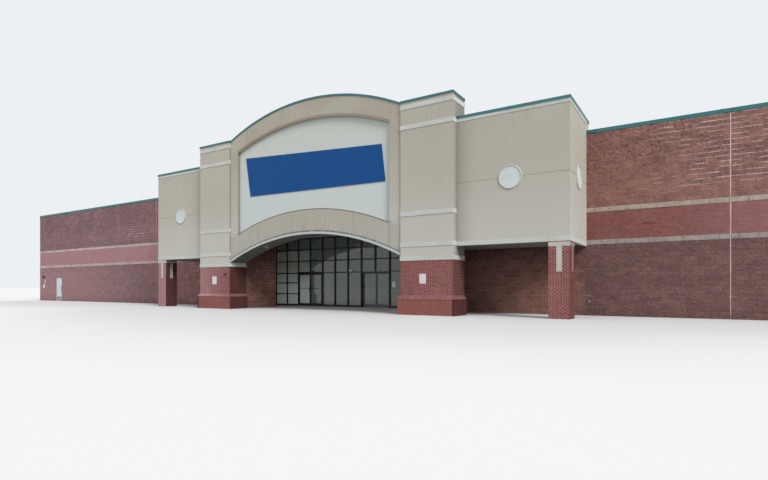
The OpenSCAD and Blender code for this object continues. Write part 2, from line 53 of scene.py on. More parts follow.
def spot(x, y, z):
    return Vector((x * modelScale, wallFaceY + y * modelScale, pavingZ + z * modelScale))


def linked(name, data):
    thing = bpy.data.objects.new(name, data)
    bpy.context.scene.collection.objects.link(thing)
    return thing


def paint(red, green, blue):  # a colour as given on screen, made linear for the shaders
    def linear(value):
        share = value / 255
        return share / 12.92 if share <= 0.04045 else ((share + 0.055) / 1.055) ** 2.4
    return (linear(red), linear(green), linear(blue), 1.0)


class Wire:  # one output socket of a node tree, which takes part in sums
    def __init__(self, graph, socket):
        self.graph = graph
        self.socket = socket

    def out(self, name):
        return Wire(self.graph, self.socket.node.outputs[name])

    def calc(self, operation, *values):
        return self.graph.add("ShaderNodeMath", dict(enumerate(values)), operation=operation)

    def floor(self):
        return self.calc("FLOOR", self)

    def size(self):
        return self.calc("ABSOLUTE", self)

    def fade(self, low, high):  # 0 at low, 1 at high, clamped, either way round
        if low > high:
            return 1 - self.fade(high, low)
        values = {"Value": self, "From Min": low, "From Max": high}
        return self.graph.add("ShaderNodeMapRange", values, interpolation_type="SMOOTHSTEP")

    def cover(self, share, tone):  # this colour with another laid over it
        return self.graph.blend(share, self, tone)


operators = {"add": "ADD", "sub": "SUBTRACT", "mul": "MULTIPLY", "truediv": "DIVIDE", "mod": "FLOORED_MODULO"}
for name, operation in operators.items():
    setattr(Wire, f"__{name}__", lambda self, other, how=operation: self.calc(how, self, other))
    setattr(Wire, f"__r{name}__", lambda self, other, how=operation: self.calc(how, other, self))
comparisons = {"least": "MINIMUM", "most": "MAXIMUM", "above": "GREATER_THAN", "below": "LESS_THAN"}
for name, operation in comparisons.items():
    setattr(Wire, name, lambda self, other, how=operation: self.calc(how, self, other))


class Graph:  # builds the nodes of a material or of a geometry tree
    def __init__(self, tree):
        self.tree = tree

    def add(self, kind, values=None, **settings):
        node = self.tree.nodes.new(kind)
        for name, value in settings.items():
            setattr(node, name, value)
        for key, value in (values or {}).items():
            self.feed(node, key, value)
        shown = [socket for socket in node.outputs if socket.enabled]
        return Wire(self, shown[0]) if shown else node

    def feed(self, node, key, value):
        if isinstance(key, int):
            socket = node.inputs[key]
        else:
            socket = next(s for s in node.inputs if s.name == key and s.enabled)
        if isinstance(value, Wire):
            self.tree.links.new(value.socket, socket)
        else:
            socket.default_value = value

    def settle(self):  # takes Object coordinates in metres of the real building
        here = self.add("ShaderNodeTexCoord").out("Object")
        scale = 1 / modelScale
        move = {"Location": (0, -wallFaceY * scale, -pavingZ * scale), "Scale": (scale, scale, scale)}
        self.where = self.add("ShaderNodeMapping", {"Vector": here, **move})
        self.axes = self.split(self.where)
        return self

    def stretched(self, *factors):
        return self.add("ShaderNodeVectorMath", {0: self.where, 1: factors}, operation="MULTIPLY")

    def split(self, vector):
        parts = self.add("ShaderNodeSeparateXYZ", {"Vector": vector})
        return parts, parts.out("Y"), parts.out("Z")

    def noise(self, scale, detail=3.0, roughness=0.55, where=None):
        values = {"Vector": where or self.where, "Scale": scale, "Detail": detail, "Roughness": roughness}
        return self.add("ShaderNodeTexNoise", values)

    def streaks(self, across, up, detail=3.0, roughness=0.55, scale=1.0):  # noise drawn out along the walls
        return self.noise(scale, detail, roughness, self.stretched(across, across, up))

    def blend(self, share, first, second):
        return self.add("ShaderNodeMix", {"Factor": share, "A": first, "B": second}, data_type="RGBA").out(2)

    def shade(self, colour, brightness):  # a colour made lighter or darker by a value near 1
        return self.add("ShaderNodeHueSaturation", {"Value": brightness, "Color": colour})

    def away(self, x, z):  # distance from a line that runs through x, z from front to back
        values = {0: self.stretched(1, 0, 1), 1: (x, 0, z)}
        return self.add("ShaderNodeVectorMath", values, operation="DISTANCE")

    def coat(self, colour, roughness, height, depth, strength, **more):
        relief = self.add("ShaderNodeBump", {"Height": height, "Distance": depth, "Strength": strength})
        return {"Base Color": colour, "Roughness": roughness, "Normal": relief, **more}


def makeFinish(name, build, specular=0.25):
    material = bpy.data.materials.new(name)
    material.use_nodes = True
    tree = material.node_tree
    tree.nodes.clear()
    graph = Graph(tree)
    surface = tree.nodes.new("ShaderNodeBsdfPrincipled")
    for key, value in {"Specular IOR Level": specular, **build(graph.settle())}.items():
        graph.feed(surface, key, value)
    output = tree.nodes.new("ShaderNodeOutputMaterial")
    tree.links.new(surface.outputs["BSDF"], output.inputs["Surface"])
    return material


# Masonry units, and the sizes of the tower bases, whose foot stands out
unitSizes = ("Unit", "Course", "Joint", "Proud", "Chamfer", "Uneven", "Datum")
unitRows = {
    "block": (0.4064, 0.2032, 0.014, 0.009, 0.007, 0.004, 0.0),
    "belt": (0.6096, 0.2032, 0.01, 0.014, 0.005, 0.001, 0.0),
    "brick": (0.2032, 0.06773, 0.01, 0.004, 0.003, 0.0008, 0.0),
    "foot": (0.2032, 0.06773, 0.01, 0.0016, 0.001, 0.0003, 0.0304),
    "rowlock": (0.1016, 0.1942, 0.01, 0.004, 0.004, 0.0008, 0.0),
}
unitFinish = {"block": "splitBlock", "belt": "paleMasonry", "brick": "smoothBrick", "foot": "smoothBrick",
              "rowlock": "slopeBrick"}
masonryKinds = {kind: dict(zip(unitSizes, row)) for kind, row in unitRows.items()}
columnSizes = {"x": [12.267, 13.087], "y": [-3.325, -2.515], "top": 2.986}
baseSizes = {"x": [5.722, 8.336], "y": [-3.703, -2.45], "out": 0.11, "footTop": 0.64, "slopeTop": 0.80,
             "top": 2.38}

# The long walls: half length, depth, half width of portal and wings, joints, zones, coping and exit doorway
wallSizes = {"end": 37.0, "depth": 48.0, "wing": 13.087, "bay": 5.25, "gap": 0.014, "porch": 6.022,
             "foot": -0.07, "belts": [3.048, 4.47], "beltHigh": 0.2032, "top": 7.952,
             "coping": (7.952, 8.107), "rearJoints": [-7.87, -2.62, 2.62, 7.87],
             "door": [-33.84, -32.84, 2.1]}

# Arcs of the portal: height of the centre and radius, for the marks that follow them: dirt, a dark line along
# the trim and painted shade under the arch
entryArc = {"centre": -9.122, "radius": 13.062, "trim": 0.19}

# Half widths, front faces and depths of the portal, and the medallions' places
portalSizes = {"field": 5.089, "fieldFront": -3.643, "entry": 5.72, "bases": 9.0, "columns": 12.0,
               "back": -3.6, "porchTop": 4.2, "roundel": (10.72, -1.6625, 5.72), "coping": (8.508, 8.628)}

# Split-faced block: purplish brown, lighter and streaked by salts in the upper zone, dark below the coping;
# its porch tones are painted light
blockLook = {"lower": paint(116, 86, 82), "upper": paint(143, 105, 97), "salt": paint(212, 176, 172),
             "dark": paint(74, 52, 50), "faded": paint(136, 110, 120), "porchLit": paint(142, 101, 90),
             "cool": paint(104, 80, 84), "warm": paint(146, 94, 74), "leftPorchLit": paint(152, 115, 112),
             "leftHigh": paint(116, 90, 102), "leftLow": paint(168, 128, 124),
             "course": 0.2032, "spread": 0.26}


def unitTone(graph):
    return graph.add("ShaderNodeAttribute", attribute_name="unitShade").out("Fac")


def fadedEnd(graph):  # the left part of the front has bleached to a pinkish tone
    x, y, z = graph.axes
    return (x.fade(-13.0, -24.0) * 0.5 + x.fade(-22.0, -34.0) * z.below(3.1) * 0.28) * y.below(0.5)


def bleachedBrick(graph):  # the same on the brickwork, from the left tower base on
    x, y, z = graph.axes
    dry = 1 - z.below(baseSizes["footTop"] + 0.02) * x.size().below(portalSizes["bases"])
    share = x.fade(-5.0, -9.0) * 0.44 + x.fade(-13.0, -24.0) * 0.06 + x.fade(15.0, 21.0) * 0.2
    return share * y.below(0.5) * dry


def shadedFaces(graph):  # painted shade on the sides of the columns and tower bases turned to the porches and the entrance, and on the right column's outer side
    x, y, z = graph.axes
    across = x.size()
    column = across.above(portalSizes["columns"]) * across.below(columnSizes["x"][0] + 0.0015) * 1.15
    tower = across.above(baseSizes["x"][1]) * across.below(portalSizes["bases"]) * 1.05
    entrance = across.below(baseSizes["x"][0] + 0.0015) * y.above(-3.8) * 1.06
    outer = x.above(columnSizes["x"][1] - 0.0015) * x.below(13.3) * 0.62
    return (column + tower + entrance + outer) * y.below(-2.3)


def entranceShading(graph):  # the entrance's side walls: painted shade towards the front and painted light by the doors
    x, y, z = graph.axes
    wall = x.size().below(5.8) * x.size().above(5.5) * y.below(0.045)
    return 1 + wall * (y.fade(-2.5, -0.1) * 0.95 - 0.38)


def porchPart(graph):  # under the wings and in the entrance, where the walls carry painted light and painted shade
    x, y, z = graph.axes
    return x.size().below(wallSizes["wing"]) * z.below(4.3) * y.below(0.5) * x.fade(13.25, 12.4)


def ceilingShade(graph):  # painted shade, darker towards the ceilings of the porches
    z = graph.axes[2]
    return porchPart(graph) * (z.fade(1.5, 3.05) * 0.42 + z.fade(2.5, 3.5) * 0.2)


def saltDrift(graph):  # how thick the salts lie, in short runs
    x, y, z = graph.axes
    rightEnd = x.fade(14.0, 18.5) * 0.3 - x.above(13.0) * 0.05
    drift = graph.streaks(0.13, 0.24, 2.0) + rightEnd
    run = graph.streaks(1.5, 4.9, 4.0, 0.65)
    high = drift.fade(0.38, 0.6) * run.fade(0.41, 0.57) * z.fade(4.9, 5.5)
    low = drift.fade(0.44, 0.6) * run.fade(0.48, 0.62) * z.fade(0.4, 0.75) * z.fade(1.3, 0.95) * 0.35
    return high.most(low)


def saltLines(graph):  # pale broken runs along the bed joints, thickest high up and towards the right end
    z = graph.axes[2]
    wander = graph.streaks(3.0, 0.0) * 0.1
    bed = ((z / blockLook["course"] + 0.45 + wander) % 1.0 - 0.5).size().fade(0.17, 0.05)
    return bed * saltDrift(graph)


def stainMask(graph):  # soot and damp below the copings and the belts, splash above the paving
    z = graph.axes[2]
    spots = graph.streaks(7.5, 9.0, 5.0, 0.8)
    drift = graph.streaks(0.5, 0.45).fade(0.38, 0.52)
    top = spots.fade(0.5, 0.58) * z.fade(5.2, 6.8) * drift
    underBelt = spots.fade(0.48, 0.62) * z.fade(2.3, 3.0) * z.below(3.1) * 0.6
    ground = spots.fade(0.42, 0.62) * z.fade(0.5, 0.0) * 0.6
    return top.most(underBelt).most(ground)


def splitBlock(graph):
    x, y, z = graph.axes
    look = blockLook
    tone = unitTone(graph)
    colour = graph.blend(z.fade(3.5, 4.4), look["lower"], look["upper"])
    even = fadedEnd(graph)
    colour = colour.cover(even, look["faded"])
    # painted light: lighter browns for the walls under the wings and in the entrance
    inside = graph.blend(x.fade(-6.2, -8.6), look["porchLit"], look["leftPorchLit"])
    colour = colour.cover(porchPart(graph), inside)
    grain = graph.noise(13.0, 5.0, 0.75)
    fleck = graph.streaks(5.0, 12.0, 3.0, 0.6)
    patch = graph.streaks(1.6, 2.4, 4.0, 0.7)
    # painted light beside the wings, where they shade the wall, and a slightly lighter lower zone towards the
    # right
    nearEdge = x.fade(-17.5, -13.2) * x.below(-13.0) * 0.34 + x.fade(15.0, 20.0) * z.below(3.1) * 0.07
    nearEdge = nearEdge + (x.fade(-20.5, -15.0) * 0.42 + 0.15) * x.below(-13.0) * z.below(3.1)
    light = 1 + (tone - 0.5) * look["spread"] + (grain - 0.5) * 1.5 + (patch - 0.5) * (0.9 - even)
    # painted shade towards the porch ceilings
    light = light + nearEdge * y.below(0.5) - ceilingShade(graph)
    # painted shade and painted light along the entrance's side walls
    colour = graph.shade(colour, light * entranceShading(graph))
    colour = colour.cover(patch.fade(0.55, 0.4) * 0.35 * (1 - even), look["cool"])
    high = z.above(4.4) * y.below(0.5)
    colour = colour.cover(x.fade(19.0, 13.0) * x.above(13.0) * high * 0.3, look["warm"])
    colour = colour.cover(x.fade(-13.0, -18.0) * high * 0.4, look["leftHigh"])
    colour = colour.cover(x.fade(-20.0, -32.0) * z.below(3.1) * y.below(0.5) * 0.55, look["leftLow"])
    colour = colour.cover(fleck.fade(0.56, 0.68) * 0.3, paint(160, 124, 114))
    colour = colour.cover(saltLines(graph) * 0.6, look["salt"])
    colour = colour.cover(stainMask(graph) * 0.7, look["dark"])
    chip = graph.away(13.21, 0.56).below(0.045) * grain.above(0.47) * y.below(0.5)
    colour = colour.cover(chip, paint(196, 190, 186))
    height = grain + fleck * 0.6
    return graph.coat(colour, grain * 0.1 + 0.85, height, 0.03, 0.8)


def blockMortar(graph):
    x, y, z = graph.axes
    grain = graph.noise(30.0)
    patch = graph.streaks(0.7, 1.6).fade(0.42, 0.62)
    colour = graph.blend(z.fade(3.5, 4.4), paint(130, 99, 95), paint(158, 121, 113))
    colour = colour.cover(fadedEnd(graph), blockLook["faded"])
    # painted light on the mortar under the wings and in the entrance
    inside = graph.blend(x.fade(-6.2, -8.6), paint(166, 126, 114), paint(178, 142, 138))
    colour = colour.cover(porchPart(graph), inside)
    # painted shade towards the porch ceilings
    light = 0.88 + patch * 0.22 + (grain - 0.5) * 0.4 - ceilingShade(graph)
    # painted shade and painted light along the entrance's side walls
    colour = graph.shade(colour, light * entranceShading(graph))
    onBed = ((z / blockLook["course"] + 0.5) % 1.0 - 0.5).size().below(0.06)
    colour = colour.cover(saltDrift(graph) * (onBed * 0.6 + 0.3), paint(226, 196, 192))
    colour = colour.cover(stainMask(graph) * 0.6, blockLook["dark"])
    return graph.coat(colour, grain * 0.1 + 0.85, grain, 0.006, 0.5)


# The dark red for the porch sides is painted shade, for faces turned away from the light
brickLook = {"low": paint(120, 71, 70), "high": paint(136, 84, 81), "bed": paint(140, 98, 94),
             "head": paint(218, 188, 184), "wallHead": paint(162, 120, 116), "faded": paint(190, 152, 156),
             "foot": paint(138, 82, 68), "shadedSide": paint(60, 25, 22),
             "mark": (15.47, 3.85)}  # the mark is a sooty patch on the front's brick zone


def smoothBrick(graph):
    x, y, z = graph.axes
    tone = unitTone(graph)
    grain = graph.noise(38.0)
    broad = graph.noise(0.45)
    colour = graph.blend(tone.fade(0.0, 1.0), brickLook["low"], brickLook["high"])
    colour = graph.shade(colour, 1 + (grain - 0.5) * 0.3 + (broad - 0.5) * 0.25)
    film = graph.streaks(0.8, 0.4).fade(0.5, 0.7)
    colour = colour.cover(film * 0.16, paint(166, 126, 128))
    colour = colour.cover(bleachedBrick(graph), brickLook["faded"])
    base = x.size().below(portalSizes["bases"]) * z.below(baseSizes["footTop"] + 0.01)
    colour = colour.cover(base * 0.5, brickLook["foot"])
    colour = colour.cover(base * z.fade(0.55, 0.6) * 0.35, paint(74, 44, 46))
    # painted shade on the faces turned to the porches
    colour = colour.cover(shadedFaces(graph) * 0.8, brickLook["shadedSide"])
    markX, markZ = brickLook["mark"]
    mark = ((x - markX).size() / 0.34).fade(1.0, 0.2) * ((z - markZ).size() / 0.1).fade(1.0, 0.2)
    colour = colour.cover(mark * y.below(0.5) * grain.fade(0.3, 0.6), paint(62, 42, 40))
    return graph.coat(colour, grain * 0.15 + 0.72, grain, 0.004, 0.5)


def slopeBrick(graph):  # the sloped course of the tower bases, bleached by rain
    tone = unitTone(graph)
    grain = graph.noise(38.0)
    colour = graph.blend(tone.fade(0.0, 1.0), paint(118, 72, 77), paint(132, 84, 90))
    colour = graph.shade(colour, 1 + (grain - 0.5) * 0.3)
    colour = colour.cover(bleachedBrick(graph) * 1.3, paint(184, 152, 162))
    return graph.coat(colour, grain * 0.15 + 0.72, grain, 0.004, 0.5)


def brickMortar(graph):  # bed joints nearly as dark as the bricks, head joints smeared pale
    x, y, z = graph.axes
    grain = graph.noise(30.0)
    patch = graph.noise(1.2).fade(0.4, 0.65)
    course = masonryKinds["brick"]["Course"]
    onBase = z.below(baseSizes["slopeTop"]) * x.size().below(portalSizes["bases"])
    bed = (((z - onBase * masonryKinds["foot"]["Datum"]) / course + 0.5) % 1.0 - 0.5).size().below(0.09)
    smeared = graph.noise(0.8, 2.0).fade(0.42, 0.58) * 0.35 + x.fade(6.2, 7.6) * 0.45 + 0.1
    smeared = (smeared * z.above(baseSizes["slopeTop"] + 0.02)).most(x.size().above(portalSizes["columns"]))
    head = graph.blend(smeared * y.below(-1.0), brickLook["wallHead"], brickLook["head"])
    colour = graph.blend(bed, head, brickLook["bed"])
    colour = colour.cover(bleachedBrick(graph), brickLook["faded"])
    # painted shade on the joints of the faces turned to the porches
    colour = colour.cover(shadedFaces(graph) * 0.75, brickLook["shadedSide"])
    colour = graph.shade(colour, 0.86 + patch * 0.16 + (grain - 0.5) * 0.3)
    return graph.coat(colour, grain * 0.1 + 0.85, grain, 0.004, 0.5)


def paleMasonry(graph):
    z = graph.axes[2]
    tone = unitTone(graph)
    grain = graph.noise(28.0, 4.0, 0.7)
    dirt = graph.streaks(1.2, 4.0, 4.0, 0.7).fade(0.46, 0.66)
    runs = graph.streaks(9.0, 1.0, 4.0, 0.7)
    colour = graph.blend(z.fade(3.5, 4.4), paint(158, 148, 142), paint(169, 156, 145))
    colour = graph.shade(colour, 1 + (tone - 0.5) * 0.1 + (grain - 0.5) * 0.2 + (runs - 0.5) * 0.7)
    colour = colour.cover(fadedEnd(graph), paint(196, 180, 182))
    colour = colour.cover(dirt * 0.45, paint(112, 98, 90))
    return graph.coat(colour, grain * 0.1 + 0.84, grain, 0.006, 0.6)


def castStone(graph):  # the T-shaped inlays of the corner columns
    grain = graph.noise(34.0, 4.0, 0.7)
    haze = graph.noise(2.2).fade(0.45, 0.7)
    colour = graph.shade(paint(186, 182, 177), 1 + (grain - 0.5) * 0.16)
    colour = colour.cover(haze * 0.3, paint(158, 150, 143))
    # painted shade on the inlays turned to the porches
    colour = colour.cover(shadedFaces(graph) * 0.4, paint(128, 112, 96))
    x, y, z = graph.axes
    # painted shade on the inlay of the right column's outer side
    outer = x.above(columnSizes["x"][1] + 0.0005) * y.above(-3.323) * x.below(13.3)
    colour = colour.cover(outer * 0.75, paint(122, 102, 98))
    return graph.coat(colour, grain * 0.1 + 0.8, grain, 0.005, 0.5)


def rainMarks(graph, across, least=0.5):  # long upright, narrow across
    return graph.streaks(across, 0.16, 3.0, 0.6).fade(least, 0.72)


# under and edge are painted shade, for the arch's underside and for faces turned from the light
stuccoLook = {"wall": paint(173, 169, 157), "low": paint(184, 182, 174), "wet": paint(134, 128, 117),
              "tan": paint(161, 152, 137), "under": paint(98, 98, 90), "band": paint(152, 149, 132),
              "edge": paint(112, 109, 101)}


def stucco(graph):
    x, y, z = graph.axes
    grain = graph.noise(60.0, 3.0, 0.6)
    broad = graph.noise(0.3)
    cloud = graph.streaks(0.5, 0.9)
    colour = graph.blend(z.fade(6.6, 3.2), stuccoLook["wall"], stuccoLook["low"])
    lighter = x.fade(-4.0, -8.0) * 0.035
    colour = graph.shade(colour, 1 + (grain - 0.5) * 0.14 + (broad - 0.5) * 0.12 + lighter)
    middle = x.size().below(portalSizes["entry"])
    inner, outer = baseSizes["x"]
    front = columnSizes["y"][0]
    patchy = cloud.fade(0.36, 0.64) * 0.4 + middle * 0.3
    colour = colour.cover(patchy * z.fade(5.5, 9.0) * (middle * 0.7 + 0.3), stuccoLook["tan"])
    fromTrim = graph.away(0, entryArc["centre"]) - entryArc["radius"] - entryArc["trim"]
    archBand = fromTrim.fade(1.3, 0.9) * middle
    colour = colour.cover(archBand * 0.4, stuccoLook["band"])
    wet = rainMarks(graph, 5.5) * (fromTrim.fade(1.1, 0.1) * middle * 0.6 + z.fade(7.4, 8.4) * 0.22 + 0.08)
    wet = wet.most(rainMarks(graph, 11.0, 0.42) * archBand * 0.45)
    colour = colour.cover(wet * 0.6, stuccoLook["wet"])
    # painted shade on the side reveals of the sign field and on the steps between the towers and the arch
    # wall
    jamb = (x.size() - portalSizes["field"]).size().below(0.004) * y.above(portalSizes["fieldFront"] + 0.001)
    step = (x.size() - inner).size().below(0.004) * y.below(portalSizes["back"])
    colour = colour.cover(jamb.most(step) * 0.75, stuccoLook["edge"])
    # painted shade on the right tower's outer side and on the wing wall in the corner beside it
    side = (x - outer).size().below(0.004) * y.below(-2.4) * y.fade(-3.95, -3.1) * 0.9
    corner = x.above(outer + 0.004) * x.fade(9.3, 8.2) * y.above(front - 0.015) * 0.42
    colour = colour.cover(side.most(corner) * 0.85, stuccoLook["edge"])
    # painted light in the upright grooves through the medallions, which would lie in shadow
    groove = (x.size() - portalSizes["roundel"][0]).size().below(0.0105) * y.below(front + 0.025)
    colour = colour.cover(groove, paint(208, 205, 194))
    # painted shade on the underside of the entrance arch
    under = middle * y.above(portalSizes["back"]) * fromTrim.below(-0.1)
    colour = colour.cover(under, stuccoLook["under"])
    return graph.coat(colour, grain * 0.12 + 0.8, grain, 0.004, 0.55)


def signField(graph):
    z = graph.axes[2]
    grain = graph.noise(60.0, 3.0, 0.6)
    rows = graph.streaks(2.5, 7.0, 3.0, 0.6)
    colour = graph.blend(z.fade(6.0, 9.4), paint(191, 198, 197), paint(189, 193, 187))
    colour = graph.shade(colour, 1 + (grain - 0.5) * 0.08 + (rows - 0.5) * 0.1)
    colour = colour.cover(rainMarks(graph, 7.0) * 0.05, paint(150, 154, 150))
    return graph.coat(colour, grain * 0.12 + 0.74, grain, 0.003, 0.4)


def coveStucco(graph):  # the moulding over the sign field, painted darker than the wall as shade
    grain = graph.noise(60.0, 3.0, 0.6)
    broad = graph.noise(1.2)
    colour = graph.shade(paint(150, 140, 124), 0.9 + broad * 0.2 + (grain - 0.5) * 0.14)
    return graph.coat(colour, grain * 0.12 + 0.8, grain, 0.004, 0.5)


def darkSeal(graph):
    grain = graph.noise(50.0, 3.0, 0.6)
    colour = graph.blend(grain.fade(0.35, 0.7), paint(84, 80, 74), paint(112, 106, 98))
    return graph.coat(colour, grain * 0.2 + 0.65, grain, 0.002, 0.4)


def paleTrim(graph):
    grain = graph.noise(60.0, 3.0, 0.6)
    haze = graph.streaks(0.8, 3.0).fade(0.42, 0.7)
    drip = rainMarks(graph, 8.0)
    colour = graph.shade(paint(191, 193, 187), 1 + (grain - 0.5) * 0.1)
    colour = colour.cover(haze * 0.22 + drip * 0.14, paint(146, 143, 134))
    return graph.coat(colour, grain * 0.1 + 0.76, grain, 0.003, 0.4)


def archTrim(graph):  # the same paint, with a dark line along its upper edge and dark specks of dirt
    grain = graph.noise(60.0, 3.0, 0.6)
    specks = graph.streaks(6.0, 9.0, 4.0, 0.7)
    along = graph.away(0, entryArc["centre"]) - entryArc["radius"]
    edge = along.fade(0.1, 0.19) * specks.fade(0.4, 0.56) * 0.8
    line = along.fade(0.095, 0.125) * (specks.fade(0.35, 0.6) * 0.4 + 0.5)
    colour = graph.shade(paint(182, 188, 187), 1 + (grain - 0.5) * 0.1)
    colour = colour.cover(edge.most(line), paint(74, 78, 78))
    colour = colour.cover(specks.fade(0.5, 0.7) * 0.25, paint(142, 142, 136))
    return graph.coat(colour, grain * 0.1 + 0.78, grain, 0.003, 0.4)


def roundel(graph):  # the medallions, kept cleaner than the bands
    grain = graph.noise(50.0, 3.0, 0.6)
    haze = graph.noise(2.0).fade(0.45, 0.7)
    x, y, z = graph.axes
    onFront = x.size().below(portalSizes["columns"])
    middleX, middleY, middleZ = portalSizes["roundel"]
    across = (x.size() - middleX) * onFront + (y - middleY) * (1 - onFront)
    up = z - middleZ
    disc = (across * across + up * up).below(0.186)
    proud = (columnSizes["y"][0] - y).most(x.size() - wallSizes["wing"])
    colour = graph.blend(disc, paint(184, 184, 176), paint(197, 207, 208))
    colour = colour.cover(haze * 0.3, paint(170, 170, 162))
    # painted shadow: the ring darker close to the wall's face, as a dark outline
    colour = colour.cover(proud.fade(0.014, 0.006) * (1 - disc) * 0.6, paint(118, 116, 106))
    return graph.coat(colour, grain * 0.1 + 0.74, grain, 0.003, 0.4)


def copingMetal(graph):
    grain = graph.noise(9.0)
    chalk = graph.streaks(0.8, 3.0).fade(0.45, 0.7)
    colour = graph.shade(paint(36, 102, 104), 1 + (grain - 0.5) * 0.25)
    colour = colour.cover(chalk * 0.2, paint(96, 142, 140))
    return graph.coat(colour, chalk * 0.2 + 0.38, grain, 0.002, 0.3)


def frameMetal(graph):
    grain = graph.streaks(1.0, 0.2, 2.0, scale=40.0)
    dust = graph.noise(2.5).fade(0.45, 0.7)
    x, y, z = graph.axes
    header = z.fade(2.0, 2.03) * z.below(2.19)
    doorUnit = header.most(y.above(0.17) * z.below(2.1)) * x.above(-0.04) * x.below(3.84) * y.above(0.04)
    colour = graph.blend(dust * 0.2, paint(11, 12, 13), paint(42, 42, 42))
    colour = colour.cover(doorUnit, paint(84, 88, 93))
    return graph.coat(colour, grain * 0.2 + 0.36, grain, 0.0006, 0.2)


# The panes; a film covers the left bays from inside
glassLook = {"clear": paint(104, 115, 109), "dusty": paint(113, 123, 116), "film": paint(184, 200, 198),
             "filmHigh": paint(142, 146, 136), "filmEdge": -2.9, "filmTop": 3.47, "bend": 1.85}


def paneGlass(graph):
    x, y, z = graph.axes
    smear = graph.streaks(1.2, 0.5, 3.0, scale=1.5).fade(0.35, 0.75)
    colour = graph.blend(smear, glassLook["clear"], glassLook["dusty"])
    crease = graph.streaks(3.0, 1.2, 4.0, 0.6)
    film = z.below(glassLook["filmTop"]) * x.below(glassLook["filmEdge"])
    paper = graph.blend(z.fade(1.0, 2.6), glassLook["film"], glassLook["filmHigh"])
    colour = colour.cover(film, graph.shade(paper, 0.86 + crease * 0.28))
    wave = graph.noise(0.7, 1.0)
    alpha = (smear * 0.08 + 0.66).most(film * 0.97)
    return graph.coat(colour, smear * 0.03 + 0.02, wave, 0.004, 0.12, Alpha=alpha, IOR=glassLook["bend"])


def whitePaint(graph):
    grain = graph.noise(35.0)
    wear = graph.noise(3.0, 4.0, 0.7).fade(0.56, 0.74)
    colour = graph.blend(wear * 0.4, paint(198, 206, 212), paint(160, 156, 148))
    return graph.coat(colour, wear * 0.2 + 0.45, grain, 0.0008, 0.3)


def signWhite(graph):  # enamelled plates and plastic housings
    grain = graph.noise(40.0)
    soil = graph.streaks(3.0, 1.2).fade(0.5, 0.75)
    x, y, z = graph.axes
    colour = graph.blend(soil * 0.3, paint(212, 208, 208), paint(176, 168, 166))
    colour = colour.cover(x.below(-35.0) * z.above(1.54) * 0.7, paint(150, 132, 134))
    return graph.coat(colour, soil * 0.2 + 0.4, grain, 0.0006, 0.25)


def blueBoard(graph):
    grain = graph.noise(45.0, 2.0)
    fade = graph.noise(0.8)
    colour = graph.shade(paint(8, 69, 128), 0.94 + fade * 0.12)
    return graph.coat(colour, grain * 0.1 + 0.55, grain, 0.001, 0.25)


def concrete(graph):
    grain = graph.noise(24.0, 4.0, 0.7)
    broad = graph.noise(0.6, 4.0)
    colour = graph.shade(paint(150, 146, 138), 1 + (grain - 0.5) * 0.3 + (broad - 0.5) * 0.4)
    return graph.coat(colour, grain * 0.2 + 0.7, grain, 0.004, 0.5)


def steelPaint(graph):
    grain = graph.noise(20.0)
    rust = graph.noise(4.0, 4.0, 0.7).fade(0.6, 0.72)
    colour = graph.blend(rust * 0.7, paint(128, 131, 133), paint(108, 72, 52))
    return graph.coat(colour, grain * 0.2 + 0.45, grain, 0.001, 0.3)


def roofSheet(graph):
    x = graph.axes[0]
    grain = graph.noise(12.0, 4.0, 0.7)
    pond = graph.noise(0.12).fade(0.52, 0.64)
    seam = ((x + 40) % 3.0 - 1.5).size().below(0.04)
    colour = graph.shade(paint(188, 188, 184), 1 + (grain - 0.5) * 0.2)
    colour = colour.cover(pond * 0.4, paint(134, 130, 120))
    colour = colour.cover(seam * 0.5, paint(150, 150, 147))
    return graph.coat(colour, grain * 0.2 + 0.6, seam + grain * 0.2, 0.01, 0.5)


def lightLens(graph):
    frost = graph.noise(40.0, 2.0)
    colour = graph.blend(frost, paint(132, 130, 122), paint(154, 152, 144))
    return graph.coat(colour, frost * 0.2 + 0.3, frost, 0.002, 0.4)


def porchPaint(graph):  # soffits and the porch ceiling, greyer than the walls outside
    grain = graph.noise(60.0, 3.0, 0.6)
    damp = graph.noise(0.9, 4.0, 0.6).fade(0.5, 0.7)
    colour = graph.shade(paint(140, 140, 136), 1 + (grain - 0.5) * 0.12)
    colour = colour.cover(damp * 0.4, paint(118, 112, 100))
    return graph.coat(colour, grain * 0.1 + 0.82, grain, 0.003, 0.4)


def sealant(graph):
    grain = graph.noise(30.0)
    patch = graph.streaks(1.0, 0.9).fade(0.42, 0.66)
    colour = graph.shade(graph.blend(patch, paint(208, 178, 174), paint(182, 148, 144)), 0.9 + grain * 0.2)
    colour = colour.cover(fadedEnd(graph) * 1.8, paint(146, 114, 116))
    return graph.coat(colour, grain * 0.1 + 0.6, grain, 0.002, 0.4)


# Each finish has its function's name; those not named here are dull
shine = {"signWhite": 0.4, "blueBoard": 0.2, "copingMetal": 0.45, "frameMetal": 0.3, "paneGlass": 0.5,
         "whitePaint": 0.4, "steelPaint": 0.4, "lightLens": 0.5}
finishes = {}
for build in (splitBlock, blockMortar, smoothBrick, slopeBrick, brickMortar, paleMasonry, castStone, stucco,
              signField, paleTrim, coveStucco, archTrim, darkSeal, signWhite, roundel, blueBoard,
              copingMetal, frameMetal, paneGlass, whitePaint, concrete, steelPaint, roofSheet, lightLens,
              porchPaint, sealant):
    name = build.__name__
    finishes[name] = makeFinish(name, build, shine.get(name, 0.25))
slotFinish = {
    "concrete": "concrete", "split_block": "blockMortar", "smooth_brick": "brickMortar",
    "pale_masonry": "paleMasonry", "stucco": "stucco", "pale_trim": "paleTrim", "sign_field": "signField",
    "coping_metal": "copingMetal", "frame_metal": "frameMetal", "glass": "paneGlass",
    "white_paint": "whitePaint", "steel": "steelPaint", "roof_sheet": "roofSheet", "light_lens": "lightLens",
}
